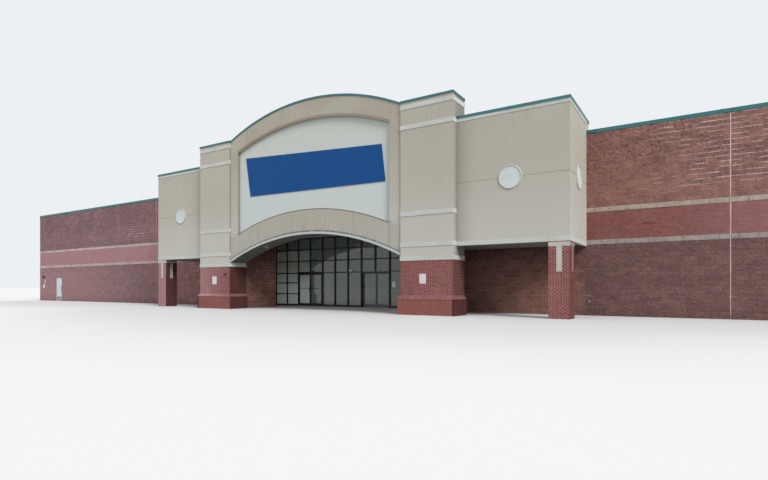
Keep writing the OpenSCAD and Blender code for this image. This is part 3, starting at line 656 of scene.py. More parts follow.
nodeFinish = {"porch_ceiling": "porchPaint", "porch_side_walls": "blockMortar", "wing_soffits": "porchPaint",
              "medallions": "roundel", "column_inlays": "castStone", "arch_trim": "archTrim"}
for row in frame["record"]["subparts"]:
    finish = finishes[nodeFinish.get(row["node"], slotFinish[row["material_slot"]])]
    node = cadNodes[row["node"]]
    node.data.materials.clear()
    node.data.materials.append(finish)
print("finishes made for the CAD nodes")


def startTree(name, sockets):  # sockets is pairs of name and type
    tree = bpy.data.node_groups.new(name, "GeometryNodeTree")
    tree.interface.new_socket("Geometry", in_out="OUTPUT", socket_type="NodeSocketGeometry")
    for socket, kind in [("Geometry", "Geometry"), *sockets, ("Finish", "Material")]:
        tree.interface.new_socket(socket, in_out="INPUT", socket_type="NodeSocket" + kind)
    graph = Graph(tree)
    return graph, graph.add("NodeGroupInput")


def endTree(graph, made, given):
    made = graph.add("GeometryNodeSetMaterial", {"Geometry": made, "Material": given.out("Finish")})
    graph.feed(graph.add("NodeGroupOutput"), "Geometry", made)
    return graph.tree


def treeMade(name, mesh, tree, values):  # the mesh that a tree makes, in the place of the one it is given
    inputs = {item.name: item.identifier for item in tree.interface.items_tree if item.in_out == "INPUT"}
    carrier = linked(name, mesh)
    modifier = carrier.modifiers.new("tree", "NODES")
    modifier.node_group = tree
    for key, value in values.items():
        modifier[inputs[key]] = value
    made = bpy.data.meshes.new_from_object(carrier.evaluated_get(bpy.context.evaluated_depsgraph_get()))
    bpy.data.objects.remove(carrier)
    bpy.data.meshes.remove(mesh)
    return made


# Masonry laid unit by unit in front of a wall's face: u along the wall, v up, both clipped to a panel
def masonryTree():
    names = ["Left", "Right", "Low", "High", "LeanLeft", "LeanRight", *unitSizes]
    graph, given = startTree("laidMasonry", [*((name, "Float") for name in names), ("Seed", "Int")])
    left, right, low, high, leanLeft, leanRight, *sizes = (given.out(name) for name in names)
    unit, course, joint, proud, chamfer, uneven, datum = sizes
    index = graph.add("GeometryNodeInputIndex")
    columns = ((right - left) / unit).floor() + 3
    firstColumn = (left / unit).floor() - 1
    firstRow = ((low - datum) / course).floor()
    rows = ((high - datum) / course).floor() + 1 - firstRow
    row = ((index + 0.5) / columns).floor()
    column = index - row * columns + firstColumn
    row = row + firstRow
    start = column * unit + (row % 2) * unit * 0.5
    x0 = start.most(left)
    x1 = (start + unit).least(right)
    z0 = (row * course + datum).most(low)
    z1 = ((row + 1) * course + datum).least(high)
    kept = (x1 - x0).above(joint * 2) * (z1 - z0).above(joint * 1.5)
    cell = graph.add("ShaderNodeCombineXYZ", {"X": (x0 + x1) * 0.5, "Z": (z0 + z1) * 0.5})
    half = graph.add("ShaderNodeCombineXYZ", {"X": (x1 - x0 - joint) * 0.5, "Z": (z1 - z0 - joint) * 0.5})
    shade = graph.add("FunctionNodeRandomValue", {"ID": index, "Seed": given.out("Seed")}, data_type="FLOAT")
    points = graph.add("GeometryNodePoints", {"Count": columns * rows})
    for name, kind, value in (("cell", "FLOAT_VECTOR", cell), ("half", "FLOAT_VECTOR", half),
                              ("unitShade", "FLOAT", shade), ("kept", "FLOAT", kept)):
        stored = {"Geometry": points, "Name": name, "Value": value}
        points = graph.add("GeometryNodeStoreNamedAttribute", stored, data_type=kind, domain="POINT")
    lost = 1 - graph.add("GeometryNodeInputNamedAttribute", {"Name": "kept"}, data_type="FLOAT")
    points = graph.add("GeometryNodeDeleteGeometry", {"Geometry": points, "Selection": lost}, domain="POINT")
    block = graph.add("GeometryNodeMeshCube", {"Size": (2.0, 2.0, 2.0)})
    back = graph.split(graph.add("GeometryNodeInputNormal"))[1].above(0.5)
    block = graph.add("GeometryNodeDeleteGeometry", {"Geometry": block, "Selection": back}, domain="FACE")
    corner = {"Geometry": block, "Name": "corner", "Value": graph.add("GeometryNodeInputPosition")}
    block = graph.add("GeometryNodeStoreNamedAttribute", corner, data_type="FLOAT_VECTOR", domain="POINT")
    laid = graph.add("GeometryNodeInstanceOnPoints", {"Points": points, "Instance": block})
    laid = graph.add("GeometryNodeRealizeInstances", {"Geometry": laid})

    def named(name):
        value = graph.add("GeometryNodeInputNamedAttribute", {"Name": name}, data_type="FLOAT_VECTOR")
        return graph.split(value)

    cornerX, cornerY, cornerZ = named("corner")
    cellX, cellY, cellZ = named("cell")
    halfX, halfY, halfZ = named("half")
    front = (1 - cornerY) * 0.5
    inset = front * chamfer
    rough = graph.add("FunctionNodeRandomValue", {"Min": -1.0, "Max": 1.0, "Seed": 7}, data_type="FLOAT")
    out = front * (proud + rough * uneven) - (1 - front) * 0.006
    upright = cellZ + cornerZ * (halfZ - inset)
    leftLine = left + (upright - low) * leanLeft
    rightLine = right - (upright - low) * leanRight
    along = (cellX + cornerX * (halfX - inset)).most(leftLine).least(rightLine)
    where = graph.add("ShaderNodeCombineXYZ", {"X": along, "Y": 0 - out, "Z": upright})
    laid = graph.add("GeometryNodeSetPosition", {"Geometry": laid, "Position": where})
    for name in ("cell", "half", "corner", "kept"):
        laid = graph.add("GeometryNodeRemoveAttribute", {"Geometry": laid, "Name": name})
    return endTree(graph, laid, given)


layTree = masonryTree()
turns = {"front": 0, "right": 90, "rear": 180, "left": -90}


def wallPlace(side, offset, tilt=0.0, lift=0.0):  # from a panel's own u, depth and v to the model
    base = spot(0, offset, lift) if side in ("front", "rear") else spot(offset, 0, lift)
    turned = Matrix.Rotation(math.radians(turns[side]), 4, "Z") @ Matrix.Rotation(tilt, 4, "X")
    return Matrix.Translation(base) @ turned @ Matrix.Scale(modelScale, 4)


def readAll(rows, key, count, kind):
    values = np.empty(count, kind)
    rows.foreach_get(key, values)
    return values


def layMasonry(name, kind, panels, seed):
    finish = finishes[unitFinish[kind]]
    points, quads, shades, count = [], [], [], 0
    for number, (place, left, right, low, high, *leans) in enumerate(panels):
        leanLeft, leanRight = leans or (0.0, 0.0)
        values = {"Left": left, "Right": right, "Low": low, "High": high, "LeanLeft": leanLeft,
                  "LeanRight": leanRight, "Seed": seed + number, "Finish": finish, **masonryKinds[kind]}
        mesh = treeMade(name + "Panel", bpy.data.meshes.new(name + "Panel"), layTree, values)
        mesh.transform(place)
        size = len(mesh.vertices)
        points.append(readAll(mesh.vertices, "co", size * 3, np.float32).reshape(-1, 3))
        quads.append(readAll(mesh.loops, "vertex_index", len(mesh.loops), np.int32).reshape(-1, 4) + count)
        shades.append(readAll(mesh.attributes["unitShade"].data, "value", size, np.float32))
        count += size
        bpy.data.meshes.remove(mesh)
    mesh = bpy.data.meshes.new(name)
    mesh.from_pydata(np.concatenate(points), [], np.concatenate(quads))
    layer = mesh.attributes.new("unitShade", "FLOAT", "POINT")
    layer.data.foreach_set("value", np.concatenate(shades))
    mesh.materials.append(finish)
    piece = linked(name, mesh)
    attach(piece, "building")
    print("laid", name, len(mesh.polygons) // 5, "units")


def wallZones():
    lower, upper = wallSizes["belts"]
    high = wallSizes["beltHigh"]
    return {
        "block": [(wallSizes["foot"], lower), (upper + high, wallSizes["top"])],
        "brick": [(lower + high, upper)],
        "belt": [(lower, lower + high), (upper, upper + high)],
    }


def jointEdges(start, end, step, least=2.0):
    edges = [start]
    while edges[-1] + step < end - least:
        edges.append(edges[-1] + step)
    return edges + [end]


frontEdges = jointEdges(wallSizes["wing"], wallSizes["end"], wallSizes["bay"])
sideEdges = jointEdges(0.0, wallSizes["depth"], wallSizes["bay"])
leftEdges = [-e for e in reversed(frontEdges)]
rearEdges = leftEdges + wallSizes["rearJoints"] + frontEdges


def cornerWrap(kind):  # how far a row of units runs past a corner, so that the two faces meet
    sizes = masonryKinds[kind]
    return sizes["Joint"] / 2 + sizes["Proud"]


def zonePanels(place, edges, zone):
    panels = []
    out = cornerWrap(zone)
    for left, right in zip(edges, edges[1:]):
        low = left - out if left == edges[0] else left + wallSizes["gap"]
        high = right + out if right == edges[-1] else right - wallSizes["gap"]
        panels += [(place, low, high, z0, z1) for z0, z1 in wallZones()[zone]]
    return panels


def cutForDoor(panels):  # leaves the exit doorway free in the front wall's panels
    x0, x1, top = wallSizes["door"]
    kept = []
    for place, left, right, low, high in panels:
        if left < x0 and right > x1 and low < top:
            kept += [(place, left, x0, low, high), (place, x1, right, low, high), (place, x0, x1, top, high)]
        else:
            kept.append((place, left, right, low, high))
    return kept


frontPlace = wallPlace("front", 0.0)
rightPlace = wallPlace("right", wallSizes["end"])
rearPlace = wallPlace("rear", wallSizes["depth"])
leftPlace = wallPlace("left", -wallSizes["end"])
for zone, seed in (("block", 100), ("brick", 200), ("belt", 300)):
    panels = zonePanels(frontPlace, frontEdges, zone) + zonePanels(frontPlace, leftEdges, zone)
    if zone == "block":
        panels = cutForDoor(panels)
        for x0, x1 in ((wallSizes["porch"], wallSizes["wing"]), (-wallSizes["wing"], -wallSizes["porch"])):
            panels.append((frontPlace, x0, x1, wallSizes["foot"], wallSizes["belts"][0]))
    layMasonry("front_" + zone + "_units", zone, panels, seed)
    layMasonry("right_" + zone + "_units", zone, zonePanels(rightPlace, sideEdges, zone), seed + 30)
    layMasonry("rear_" + zone + "_units", zone, zonePanels(rearPlace, rearEdges, zone), seed + 60)
partyPanels = [(leftPlace, -right + 0.012, -left - 0.012, wallSizes["foot"], wallSizes["top"])
               for left, right in zip(sideEdges, sideEdges[1:])]
layMasonry("party_blocks", "block", partyPanels, 400)


# Brick faces of the tower bases and the corner columns, and the porch's side walls
def mirroredRange(side, low, high):
    return (low, high) if side > 0 else (-high, -low)


def basePanels(kind):
    x0, x1 = baseSizes["x"]
    y0, y1 = baseSizes["y"]
    out = baseSizes["out"]
    slopeHigh = baseSizes["slopeTop"] - baseSizes["footTop"]
    slope = math.atan2(out, slopeHigh)
    wrap = cornerWrap(kind)
    step = 0.0 if kind == "brick" else out
    tilt, lift, lean = 0.0, 0.0, 0.0
    if kind == "rowlock":
        tilt, lift, lean = -slope, baseSizes["footTop"], math.sin(slope)
    z0, z1 = {"brick": (baseSizes["slopeTop"], baseSizes["top"]),
              "foot": (wallSizes["foot"], baseSizes["footTop"]),
              "rowlock": (0.0, math.hypot(out, slopeHigh))}[kind]
    panels = []
    for side in (1, -1):
        inner, outer = ("left", "right") if side > 0 else ("right", "left")
        left, right = mirroredRange(side, x0 - step - wrap, x1 + step + wrap)
        panels.append((wallPlace("front", y0 - step, tilt, lift), left, right, z0, z1, lean, lean))
        for face, x in ((inner, side * (x0 - step)), (outer, side * (x1 + step))):
            place = wallPlace(face, x, tilt, lift)
            if face == "left":
                panels.append((place, -y1, step + wrap - y0, z0, z1, 0.0, lean))
            else:
                panels.append((place, y0 - step - wrap, y1, z0, z1, lean, 0.0))
    return panels


for part, kind, seed in (("base", "brick", 500), ("foot", "foot", 520), ("slope", "rowlock", 540)):
    layMasonry("tower_" + part + "_bricks", kind, basePanels(kind), seed)
columnPanels = []
wrap = cornerWrap("brick")
for side in (1, -1):
    x0, x1 = mirroredRange(side, *columnSizes["x"])
    y0, y1 = columnSizes["y"]
    zs = (wallSizes["foot"], columnSizes["top"])
    columnPanels += [
        (wallPlace("front", y0), x0 - wrap, x1 + wrap, *zs),
        (wallPlace("rear", y1), -x1 - wrap, wrap - x0, *zs),
        (wallPlace("right", x1), y0 - wrap, y1 + wrap, *zs),
        (wallPlace("left", x0), -y1 - wrap, wrap - y0, *zs)]
layMasonry("column_bricks", "brick", columnPanels, 560)
porchPanels = []
porchDeep = -baseSizes["y"][1]
for side in (1, -1):
    faces = (("left", baseSizes["x"][0], portalSizes["porchTop"]),
             ("right", wallSizes["porch"], wallSizes["belts"][0]))
    for face, x, top in faces:
        if side < 0:
            face = "right" if face == "left" else "left"
        span = (0.0, porchDeep) if face == "left" else (-porchDeep, 0.0)
        porchPanels.append((wallPlace(face, side * x), *span, wallSizes["foot"], top))
layMasonry("porch_wall_blocks", "block", porchPanels, 580)


# Small parts built from slabs, rods and swept profiles, in metres of the real building
class Shape:
    def __init__(self):
        self.mesh = bmesh.new()

    def soften(self, vertices, edge):
        edges = list({e for v in vertices for e in v.link_edges})
        offset = edge * modelScale
        bmesh.ops.bevel(self.mesh, geom=edges, offset=offset, segments=2, profile=0.7, affect="EDGES")

    def slab(self, low, high, edge=0.003):
        made = bmesh.ops.create_cube(self.mesh, size=1.0)["verts"]
        for vertex in made:
            vertex.co = spot(*[a + (b - a) * (c + 0.5) for a, b, c in zip(low, high, vertex.co)])
        self.soften(made, edge)

    def rod(self, start, end, radius, tip=None, sides=20):
        start, end = spot(*start), spot(*end)
        turn = (end - start).to_track_quat("Z", "Y").to_matrix().to_4x4()
        place = Matrix.Translation((start + end) / 2) @ turn
        tip = radius if tip is None else tip
        made = bmesh.ops.create_cone(
            self.mesh, cap_ends=True, segments=sides, radius1=radius * modelScale,
            radius2=tip * modelScale, depth=(end - start).length, matrix=place)["verts"]
        edges = [e for e in {e for v in made for e in v.link_edges} if len(e.link_faces) == 2
                 and max(len(f.verts) for f in e.link_faces) > 4]
        bmesh.ops.bevel(self.mesh, geom=edges, offset=radius * 0.12 * modelScale, segments=2, affect="EDGES")

    def stud(self, x, z, back, front, radius, tip=None, sides=20):  # a rod that points out of the front
        self.rod((x, back, z), (x, front, z), radius, tip, sides)

    def sweep(self, path, outward, profile):  # the profile is pairs of across and proud
        path = [Vector(place) for place in path]
        outward = Vector(outward)
        rings = []
        for i, place in enumerate(path):
            ahead = path[min(i + 1, len(path) - 1)] - path[max(i - 1, 0)]
            across = ahead.cross(outward).normalized()
            rings.append([self.mesh.verts.new(spot(*(place + across * a + outward * b))) for a, b in profile])
        for first, second in zip(rings, rings[1:]):
            for i, vertex in enumerate(first):
                j = (i + 1) % len(first)
                self.mesh.faces.new((vertex, first[j], second[j], second[i]))
        self.mesh.faces.new(rings[0][::-1])
        self.mesh.faces.new(rings[-1])

    def plate(self, corners, front, back, edge):  # corners are x, z in order round it
        rings = [[self.mesh.verts.new(spot(x, y, z)) for x, z in corners] for y in (front, back)]
        made = rings[0] + rings[1]
        self.mesh.faces.new(rings[0])
        self.mesh.faces.new(rings[1][::-1])
        for i in range(len(corners)):
            j = (i + 1) % len(corners)
            self.mesh.faces.new((rings[0][j], rings[0][i], rings[1][i], rings[1][j]))
        self.soften(made, edge)

    def done(self, name, finish, slot, body="building", smooth=False):
        bmesh.ops.recalc_face_normals(self.mesh, faces=self.mesh.faces)
        for face in self.mesh.faces:
            face.smooth = smooth
        mesh = bpy.data.meshes.new(name)
        self.mesh.to_mesh(mesh)
        self.mesh.free()
        rideAlong(name, mesh, finish, body)


def rideAlong(name, mesh, finish, body="building"):
    mesh.materials.clear()
    mesh.materials.append(finishes[finish])
    piece = linked(name, mesh)
    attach(piece, body)
    print("made", name, len(mesh.polygons), "faces")


def fitted(name, look, finish, slot):  # a piece made of the rows in its dictionary
    shape = Shape()
    for kind in ("slab", "rod", "plate"):
        for row in look.get(kind, []):
            getattr(shape, kind)(*row)
    shape.done(name, finish, slot)


# A row of equal parts, repeated along a line
def rowTree():
    graph, given = startTree("evenRow", [("Count", "Int"), ("Step", "Vector")])
    values = {"Count": given.out("Count"), "Offset": given.out("Step")}
    line = graph.add("GeometryNodeMeshLine", values, mode="OFFSET")
    row = graph.add("GeometryNodeInstanceOnPoints", {"Points": line, "Instance": given.out("Geometry")})
    return endTree(graph, graph.add("GeometryNodeRealizeInstances", {"Geometry": row}), given)


rowsTree = rowTree()


def inRows(name, rows, finish):  # rows of (shape, count, step in real metres)
    joined = bmesh.new()
    for shape, count, step in rows:
        bmesh.ops.recalc_face_normals(shape.mesh, faces=shape.mesh.faces)
        mesh = bpy.data.meshes.new(name + "Item")
        shape.mesh.to_mesh(mesh)
        shape.mesh.free()
        values = {"Count": count, "Step": [value * modelScale for value in step], "Finish": finishes[finish]}
        whole = treeMade(name + "Item", mesh, rowsTree, values)
        joined.from_mesh(whole)
        bpy.data.meshes.remove(whole)
    mesh = bpy.data.meshes.new(name)
    joined.to_mesh(mesh)
    joined.free()
    rideAlong(name, mesh, finish)


# Sealant in the upright joints of the long walls: a hollow bead between the units
sealLook = {"width": 0.038, "proud": 0.006, "dip": 0.002, "deep": 0.004, "steps": 24}
seals = Shape()
half, proud, dip, deep = sealLook["width"] / 2, sealLook["proud"], sealLook["dip"], -sealLook["deep"]
bead = [(-half, proud), (-half * 0.4, dip), (half * 0.4, dip), (half, proud), (half, deep), (-half, deep)]
heights = np.linspace(wallSizes["foot"], wallSizes["top"], sealLook["steps"])
end, depth = wallSizes["end"], wallSizes["depth"]
lines = [((x, 0.0), (0, -1, 0)) for x in frontEdges[1:-1] + leftEdges[1:-1]]
lines += [((end, y), (1, 0, 0)) for y in sideEdges[1:-1]] + [((-end, y), (-1, 0, 0)) for y in sideEdges[1:-1]]
lines += [((-x, depth), (0, 1, 0)) for x in rearEdges[1:-1]]
for (x, y), outward in lines:
    seals.sweep([(x, y, z) for z in heights], outward, bead)
seals.done("control_joint_seals", "sealant", "pale_trim", smooth=True)

# Cover plates over the joints of the metal copings, in rows: outer edge, way in, count, direction
coverLook = {
    "width": 0.12, "thick": 0.004, "drop": 0.012, "step": 3.05,
    "hall": [((15.0, -0.03), (0, 0.36), 8, (1, 0)), ((-15.0, -0.03), (0, 0.36), 8, (-1, 0)),
             ((-35.075, 48.026), (0, -0.36), 24, (1, 0)), ((37.026, 3.05), (-0.36, 0), 15, (0, 1)),
             ((-37.026, 3.05), (0.36, 0), 15, (0, 1))],
    "wings": [((10.7, -3.355), (0, 0.26), 1, (0, 0)), ((-10.7, -3.355), (0, 0.26), 1, (0, 0)),
              ((13.117, -1.6), (-0.26, 0), 1, (0, 0)), ((-13.117, -1.6), (0.26, 0), 1, (0, 0))],
}


def coverPlate(start, deep, low, high):  # low and high are the coping's
    thick, drop, half = coverLook["thick"], coverLook["drop"], coverLook["width"] / 2
    inward = Vector((*deep, 0))
    size, up = inward.length, high - low
    section = [(-thick, -drop), (-thick, up + thick), (size + thick, up + thick), (size + thick, -drop),
               (size, -drop), (size, up), (0.0, up), (0.0, -drop)]
    middle = Vector((*start, low))
    along = Vector((0, 0, 1)).cross(inward).normalized()
    shape = Shape()
    shape.sweep([middle - along * half, middle + along * half], (0, 0, 1), section)
    return shape


coverRows = []
for part, heights in (("hall", wallSizes["coping"]), ("wings", portalSizes["coping"])):
    for start, deep, count, way in coverLook[part]:
        step = [value * coverLook["step"] for value in (*way, 0)]
        coverRows.append((coverPlate(start, deep, *heights), count, step))
inRows("coping_covers", coverRows, "copingMetal")


# The moulding over the sign field and the dark line under it, both along its arcs
fieldLook = {
    "top": (8.865, 9.877), "low": (4.204, 5.238), "steps": 48,
    "cove": [(0.0, -0.002), (0.0, 0.004), (-0.012, 0.012), (-0.055, 0.006), (-0.09, 0.016), (-0.115, 0.018),
             (-0.115, -0.002)],
    "bead": [(0.0, -0.002), (0.0, 0.01), (0.012, 0.015), (0.03, 0.01), (0.03, -0.002)],
}


def arcPath(spring, crown):
    half, front, rise = portalSizes["field"], portalSizes["fieldFront"], crown - spring
    radius = (half * half + rise * rise) / (2 * rise)
    reach = math.asin(half / radius)
    turns = np.linspace(-reach, reach, fieldLook["steps"])
    return [(radius * math.sin(t), front, crown - radius + radius * math.cos(t)) for t in turns]


for name, arc, profile, finish in (("field_moulding", "top", "cove", "coveStucco"),
                                   ("field_sill_bead", "low", "bead", "darkSeal")):
    moulding = Shape()
    moulding.sweep(arcPath(*fieldLook[arc]), (0, -1, 0), fieldLook[profile])
    moulding.done(name, finish, "stucco")

# Bare blue board on the sign panel: four sheets side by side on spacers, screwed along the edges
boardLook = {"corners": [(-4.563, 8.507), (4.578, 7.966), (4.796, 6.175), (-4.207, 6.312)], "front": -3.522,
             "back": -3.508, "sheets": 4, "seam": 0.004 / 18, "screws": 5, "inset": 0.05, "margin": 0.04,
             "fixings": [(-3.52, -3.528, 0.016, 0.011), (-3.508, -3.491, 0.03, 0.03)]}


def alongLine(first, second, share):
    return tuple(a + (b - a) * share for a, b in zip(first, second))


topLeft, topRight, lowRight, lowLeft = boardLook["corners"]
board = Shape()
heads = []
sheets = boardLook["sheets"]
for i in range(sheets):
    seam = boardLook["seam"]
    left = i / sheets + (seam if i else 0)
    right = (i + 1) / sheets - (seam if i < sheets - 1 else 0)
    corners = [alongLine(topLeft, topRight, left), alongLine(topLeft, topRight, right),
               alongLine(lowLeft, lowRight, right), alongLine(lowLeft, lowRight, left)]
    board.plate(corners, boardLook["front"], boardLook["back"], 0.003)
    inset, margin, count = boardLook["inset"], boardLook["margin"], boardLook["screws"]
    for first, second, drop in ((corners[0], corners[1], -inset), (corners[3], corners[2], inset)):
        start = alongLine(first, second, margin)
        stride = [(b - a) * (1 - 2 * margin) / (count - 1) for a, b in zip(first, second)]
        x, z = start[0], start[1] + drop
        for back, front, radius, tip in boardLook["fixings"]:
            fixing = Shape()
            fixing.stud(x, z, back, front, radius, tip, 12)
            heads.append((fixing, count, (stride[0], 0, stride[1])))
board.done("blue_board", "blueBoard", "sign_field")
inRows("board_fixings", heads, "steelPaint")

# Blank notice plates with raised rims
noticeLook = {"plates": [((6.71, 1.335), (7.035, 1.78), -3.707), ((-7.21, 1.355), (-6.85, 1.83), -3.707),
                         ((-36.1, 1.58), (-35.82, 1.93), -0.009), ((-36.35, 1.13), (-36.07, 1.49), -0.009)],
              "thick": 0.008, "rim": 0.014, "screw": 0.035}
notices = Shape()
screws = []
for (x0, z0), (x1, z1), face in noticeLook["plates"]:
    rim, front = noticeLook["rim"], face - noticeLook["thick"]
    notices.slab((x0, front, z0), (x1, face + 0.004, z1), 0.003)
    rims = ((x0, z0, x0 + rim, z1), (x1 - rim, z0, x1, z1), (x0, z0, x1, z0 + rim), (x0, z1 - rim, x1, z1))
    for left, low, right, high in rims:
        notices.slab((left, front - 0.005, low), (right, front + 0.003, high), 0.002)
    inset = noticeLook["screw"]
    for z in (z0 + inset, z1 - inset):
        head = Shape()
        head.stud(x0 + inset, z, front + 0.002, front - 0.005, 0.009, 0.006, 12)
        screws.append((head, 2, (x1 - x0 - 2 * inset, 0, 0)))
notices.done("notice_plates", "signWhite", "pale_trim")
inRows("notice_screws", screws, "steelPaint")

# Key switch and hooded box on the walls, card on the glass, sensor over the doors. A slab is two corners and
# its edge, a rod two ends and its radii.
boxLook = {
    "slab": [((-6.125, -3.755, 1.88), (-6.035, -3.7, 1.99), 0.008),
             ((-6.13, -3.765, 1.986), (-6.03, -3.7, 1.995), 0.003),
             ((-36.28, -0.1, 2.09), (-36.08, 0.0, 2.25), 0.012)],
    "rod": [((-6.08, -3.755, 1.945), (-6.08, -3.765, 1.945), 0.018)],
    "plate": [([(-36.31, 2.25), (-36.05, 2.25), (-36.07, 2.285), (-36.29, 2.285)], -0.15, 0.0, 0.004)],
}
cardLook = {
    "slab": [((3.0, 0.0765, 1.18), (3.18, 0.08, 1.49), 0.001),
             ((3.015, 0.076, 1.2), (3.165, 0.078, 1.215), 0.0005),
             ((3.015, 0.076, 1.455), (3.165, 0.078, 1.47), 0.0005)],
}
sensorLook = {
    "slab": [((0.135, -0.015, 2.1), (0.305, 0.079, 2.2), 0.012),
             ((0.145, -0.03, 2.195), (0.295, 0.06, 2.207), 0.004)],
    "rod": [((x, -0.015, 2.145), (x, -0.024, 2.137), 0.022, 0.014) for x in (0.175, 0.265)],
}
fitted("wall_boxes", boxLook, "frameMetal", "frame_metal")
fitted("pane_card", cardLook, "signWhite", "pale_trim")
fitted("door_sensor", sensorLook, "signWhite", "pale_trim")

# Snap-on cover caps of the glazing's uprights, and the deep base trim under the fixed fields
capLook = {"bay": 0.948, "front": 0.05, "half": 0.045, "proud": 0.03, "low": 0.03, "header": 2.09,
           "top": 4.18, "whole": [-5, -1, 0, 1, 3, 4, 5], "upper": [-4, -3, -2, 2], "flat": 0.02,
           "baseTop": 0.15, "base": [(-5.7, -3.84), (-1.848, 0.915), (2.877, 5.7)],
           "trim": [((-5.712, 0.03), (-5.64, 4.17)), ((5.64, 0.03), (5.712, 4.17)),
                    ((-3.842, 0.03), (-3.772, 2.022)), ((-1.916, 0.03), (-1.846, 2.022)),
                    ((-3.842, 2.022), (-1.846, 2.125))]}
caps = Shape()
half, proud = capLook["half"], capLook["proud"]
cap = [(-half, 0.0), (-half, proud * 0.55), (-half * 0.8, proud), (half * 0.8, proud), (half, proud * 0.55),
       (half, 0.0)]
for part, low in (("whole", capLook["low"]), ("upper", capLook["header"])):
    for i in capLook[part]:
        x = i * capLook["bay"]
        caps.sweep([(x, capLook["front"], low), (x, capLook["front"], capLook["top"])], (0, -1, 0), cap)
trims = [((x0, capLook["low"]), (x1, capLook["baseTop"])) for x0, x1 in capLook["base"]]
for (x0, z0), (x1, z1) in trims + capLook["trim"]:
    caps.slab((x0, capLook["front"] - capLook["flat"], z0), (x1, capLook["front"] + 0.002, z1), 0.003)
caps.done("glazing_caps", "frameMetal", "frame_metal")

# Rims round the lights, sunk into the soffits
lightLook = {"wing": (10.72, -1.6625, 3.05), "entry": (3.4, -3.0465, 3.49), "lean": 0.2603,
             "size": (0.175, 0.165)}
rims = Shape()
for side in (1, -1):
    for place, lean in ((lightLook["wing"], 0.0), (lightLook["entry"], lightLook["lean"])):
        at = Vector((side * place[0], place[1], place[2]))
        down = Vector((-side * lean, 0, -math.sqrt(1 - lean * lean)))
        rims.rod(at - down * 0.006, at + down * 0.016, *lightLook["size"], 48)
rims.done("light_rims", "steelPaint", "white_paint")

# Fittings of the doors; each rides with its leaf
doorLook = {"leaves": [("left", -3.761, -2.854, 1), ("right", -2.834, -1.927, -1)], "stile": 0.055,
            "sliding": [("left", 0.918, 1.886, 1), ("right", 1.906, 2.874, -1)], "barZ": 1.1, "lockZ": 1.36,
            "closer": {"long": 0.28, "off": 0.13, "low": 1.945, "high": 1.995}, "edge": (0.06, 2.015),
            "pull": (0.95, 1.25), "kick": (0.09, 0.19)}
for name, x0, x1, side in doorLook["leaves"]:  # side 1 has its hinges at the left edge
    kit = Shape()
    stile, barZ = doorLook["stile"], doorLook["barZ"]
    kit.slab((x0 + stile, 0.052, barZ - 0.012), (x1 - stile, 0.066, barZ + 0.012), 0.003)
    kit.slab((x0 + 0.02, 0.125, barZ - 0.035), (x1 - 0.02, 0.155, barZ + 0.035), 0.008)
    for x in (x0 + 0.01, x1 - 0.07):
        kit.slab((x, 0.093, barZ - 0.045), (x + 0.06, 0.16, barZ + 0.045), 0.006)
    closer = doorLook["closer"]
    closerX = x0 + closer["off"] if side > 0 else x1 - closer["off"] - closer["long"]
    kit.slab((closerX, 0.093, closer["low"]), (closerX + closer["long"], 0.15, closer["high"]), 0.01)
    kit.slab((x0 + 0.012, 0.094, 0.046), (x1 - 0.012, 0.104, 0.085), 0.002)
    lockX = x1 - stile / 2 if side > 0 else x0 + stile / 2
    lockZ = doorLook["lockZ"]
    kit.stud(lockX, lockZ, 0.051, 0.04, 0.019, 0.016)
    kit.slab((lockX - 0.002, 0.038, lockZ - 0.01), (lockX + 0.002, 0.042, lockZ + 0.01), 0.0005)
    kit.done("swing_" + name + "_fittings", "frameMetal", "frame_metal", "swing_leaf_" + name)
for name, x0, x1, edge in doorLook["sliding"]:
    kit = Shape()
    meet = x1 if edge > 0 else x0
    lip = sorted((meet, meet + edge * 0.008))
    kit.slab((lip[0], 0.195, doorLook["edge"][0]), (lip[1], 0.204, doorLook["edge"][1]), 0.002)
    low, high = doorLook["pull"]
    kit.slab((meet - edge * 0.05, 0.22, low), (meet - edge * 0.02, 0.252, high), 0.008)
    low, high = doorLook["kick"]
    kit.slab((x0 + 0.02, 0.22, low), (x1 - 0.02, 0.228, high), 0.003)
    kit.stud(meet - edge * 0.0275, doorLook["lockZ"], 0.178, 0.171, 0.019, 0.016)
    kit.done("sliding_" + name + "_fittings", "frameMetal", "frame_metal", "sliding_leaf_" + name)

treadLook = {"z": 0.029, "runs": [(-3.79, -1.9, 0.0725), (0.03, 3.76, 0.1995)]}
treads = Shape()
tread = [(-0.05, 0.0), (-0.05, 0.004), (-0.03, 0.01), (-0.012, 0.01), (-0.008, 0.006), (0.008, 0.006),
         (0.012, 0.01), (0.03, 0.01), (0.05, 0.004), (0.05, 0.0)]
for x0, x1, y in treadLook["runs"]:
    treads.sweep([(x0, y, treadLook["z"]), (x1, y, treadLook["z"])], (0, 0, 1), tread)
treads.done("door_thresholds", "steelPaint", "steel")

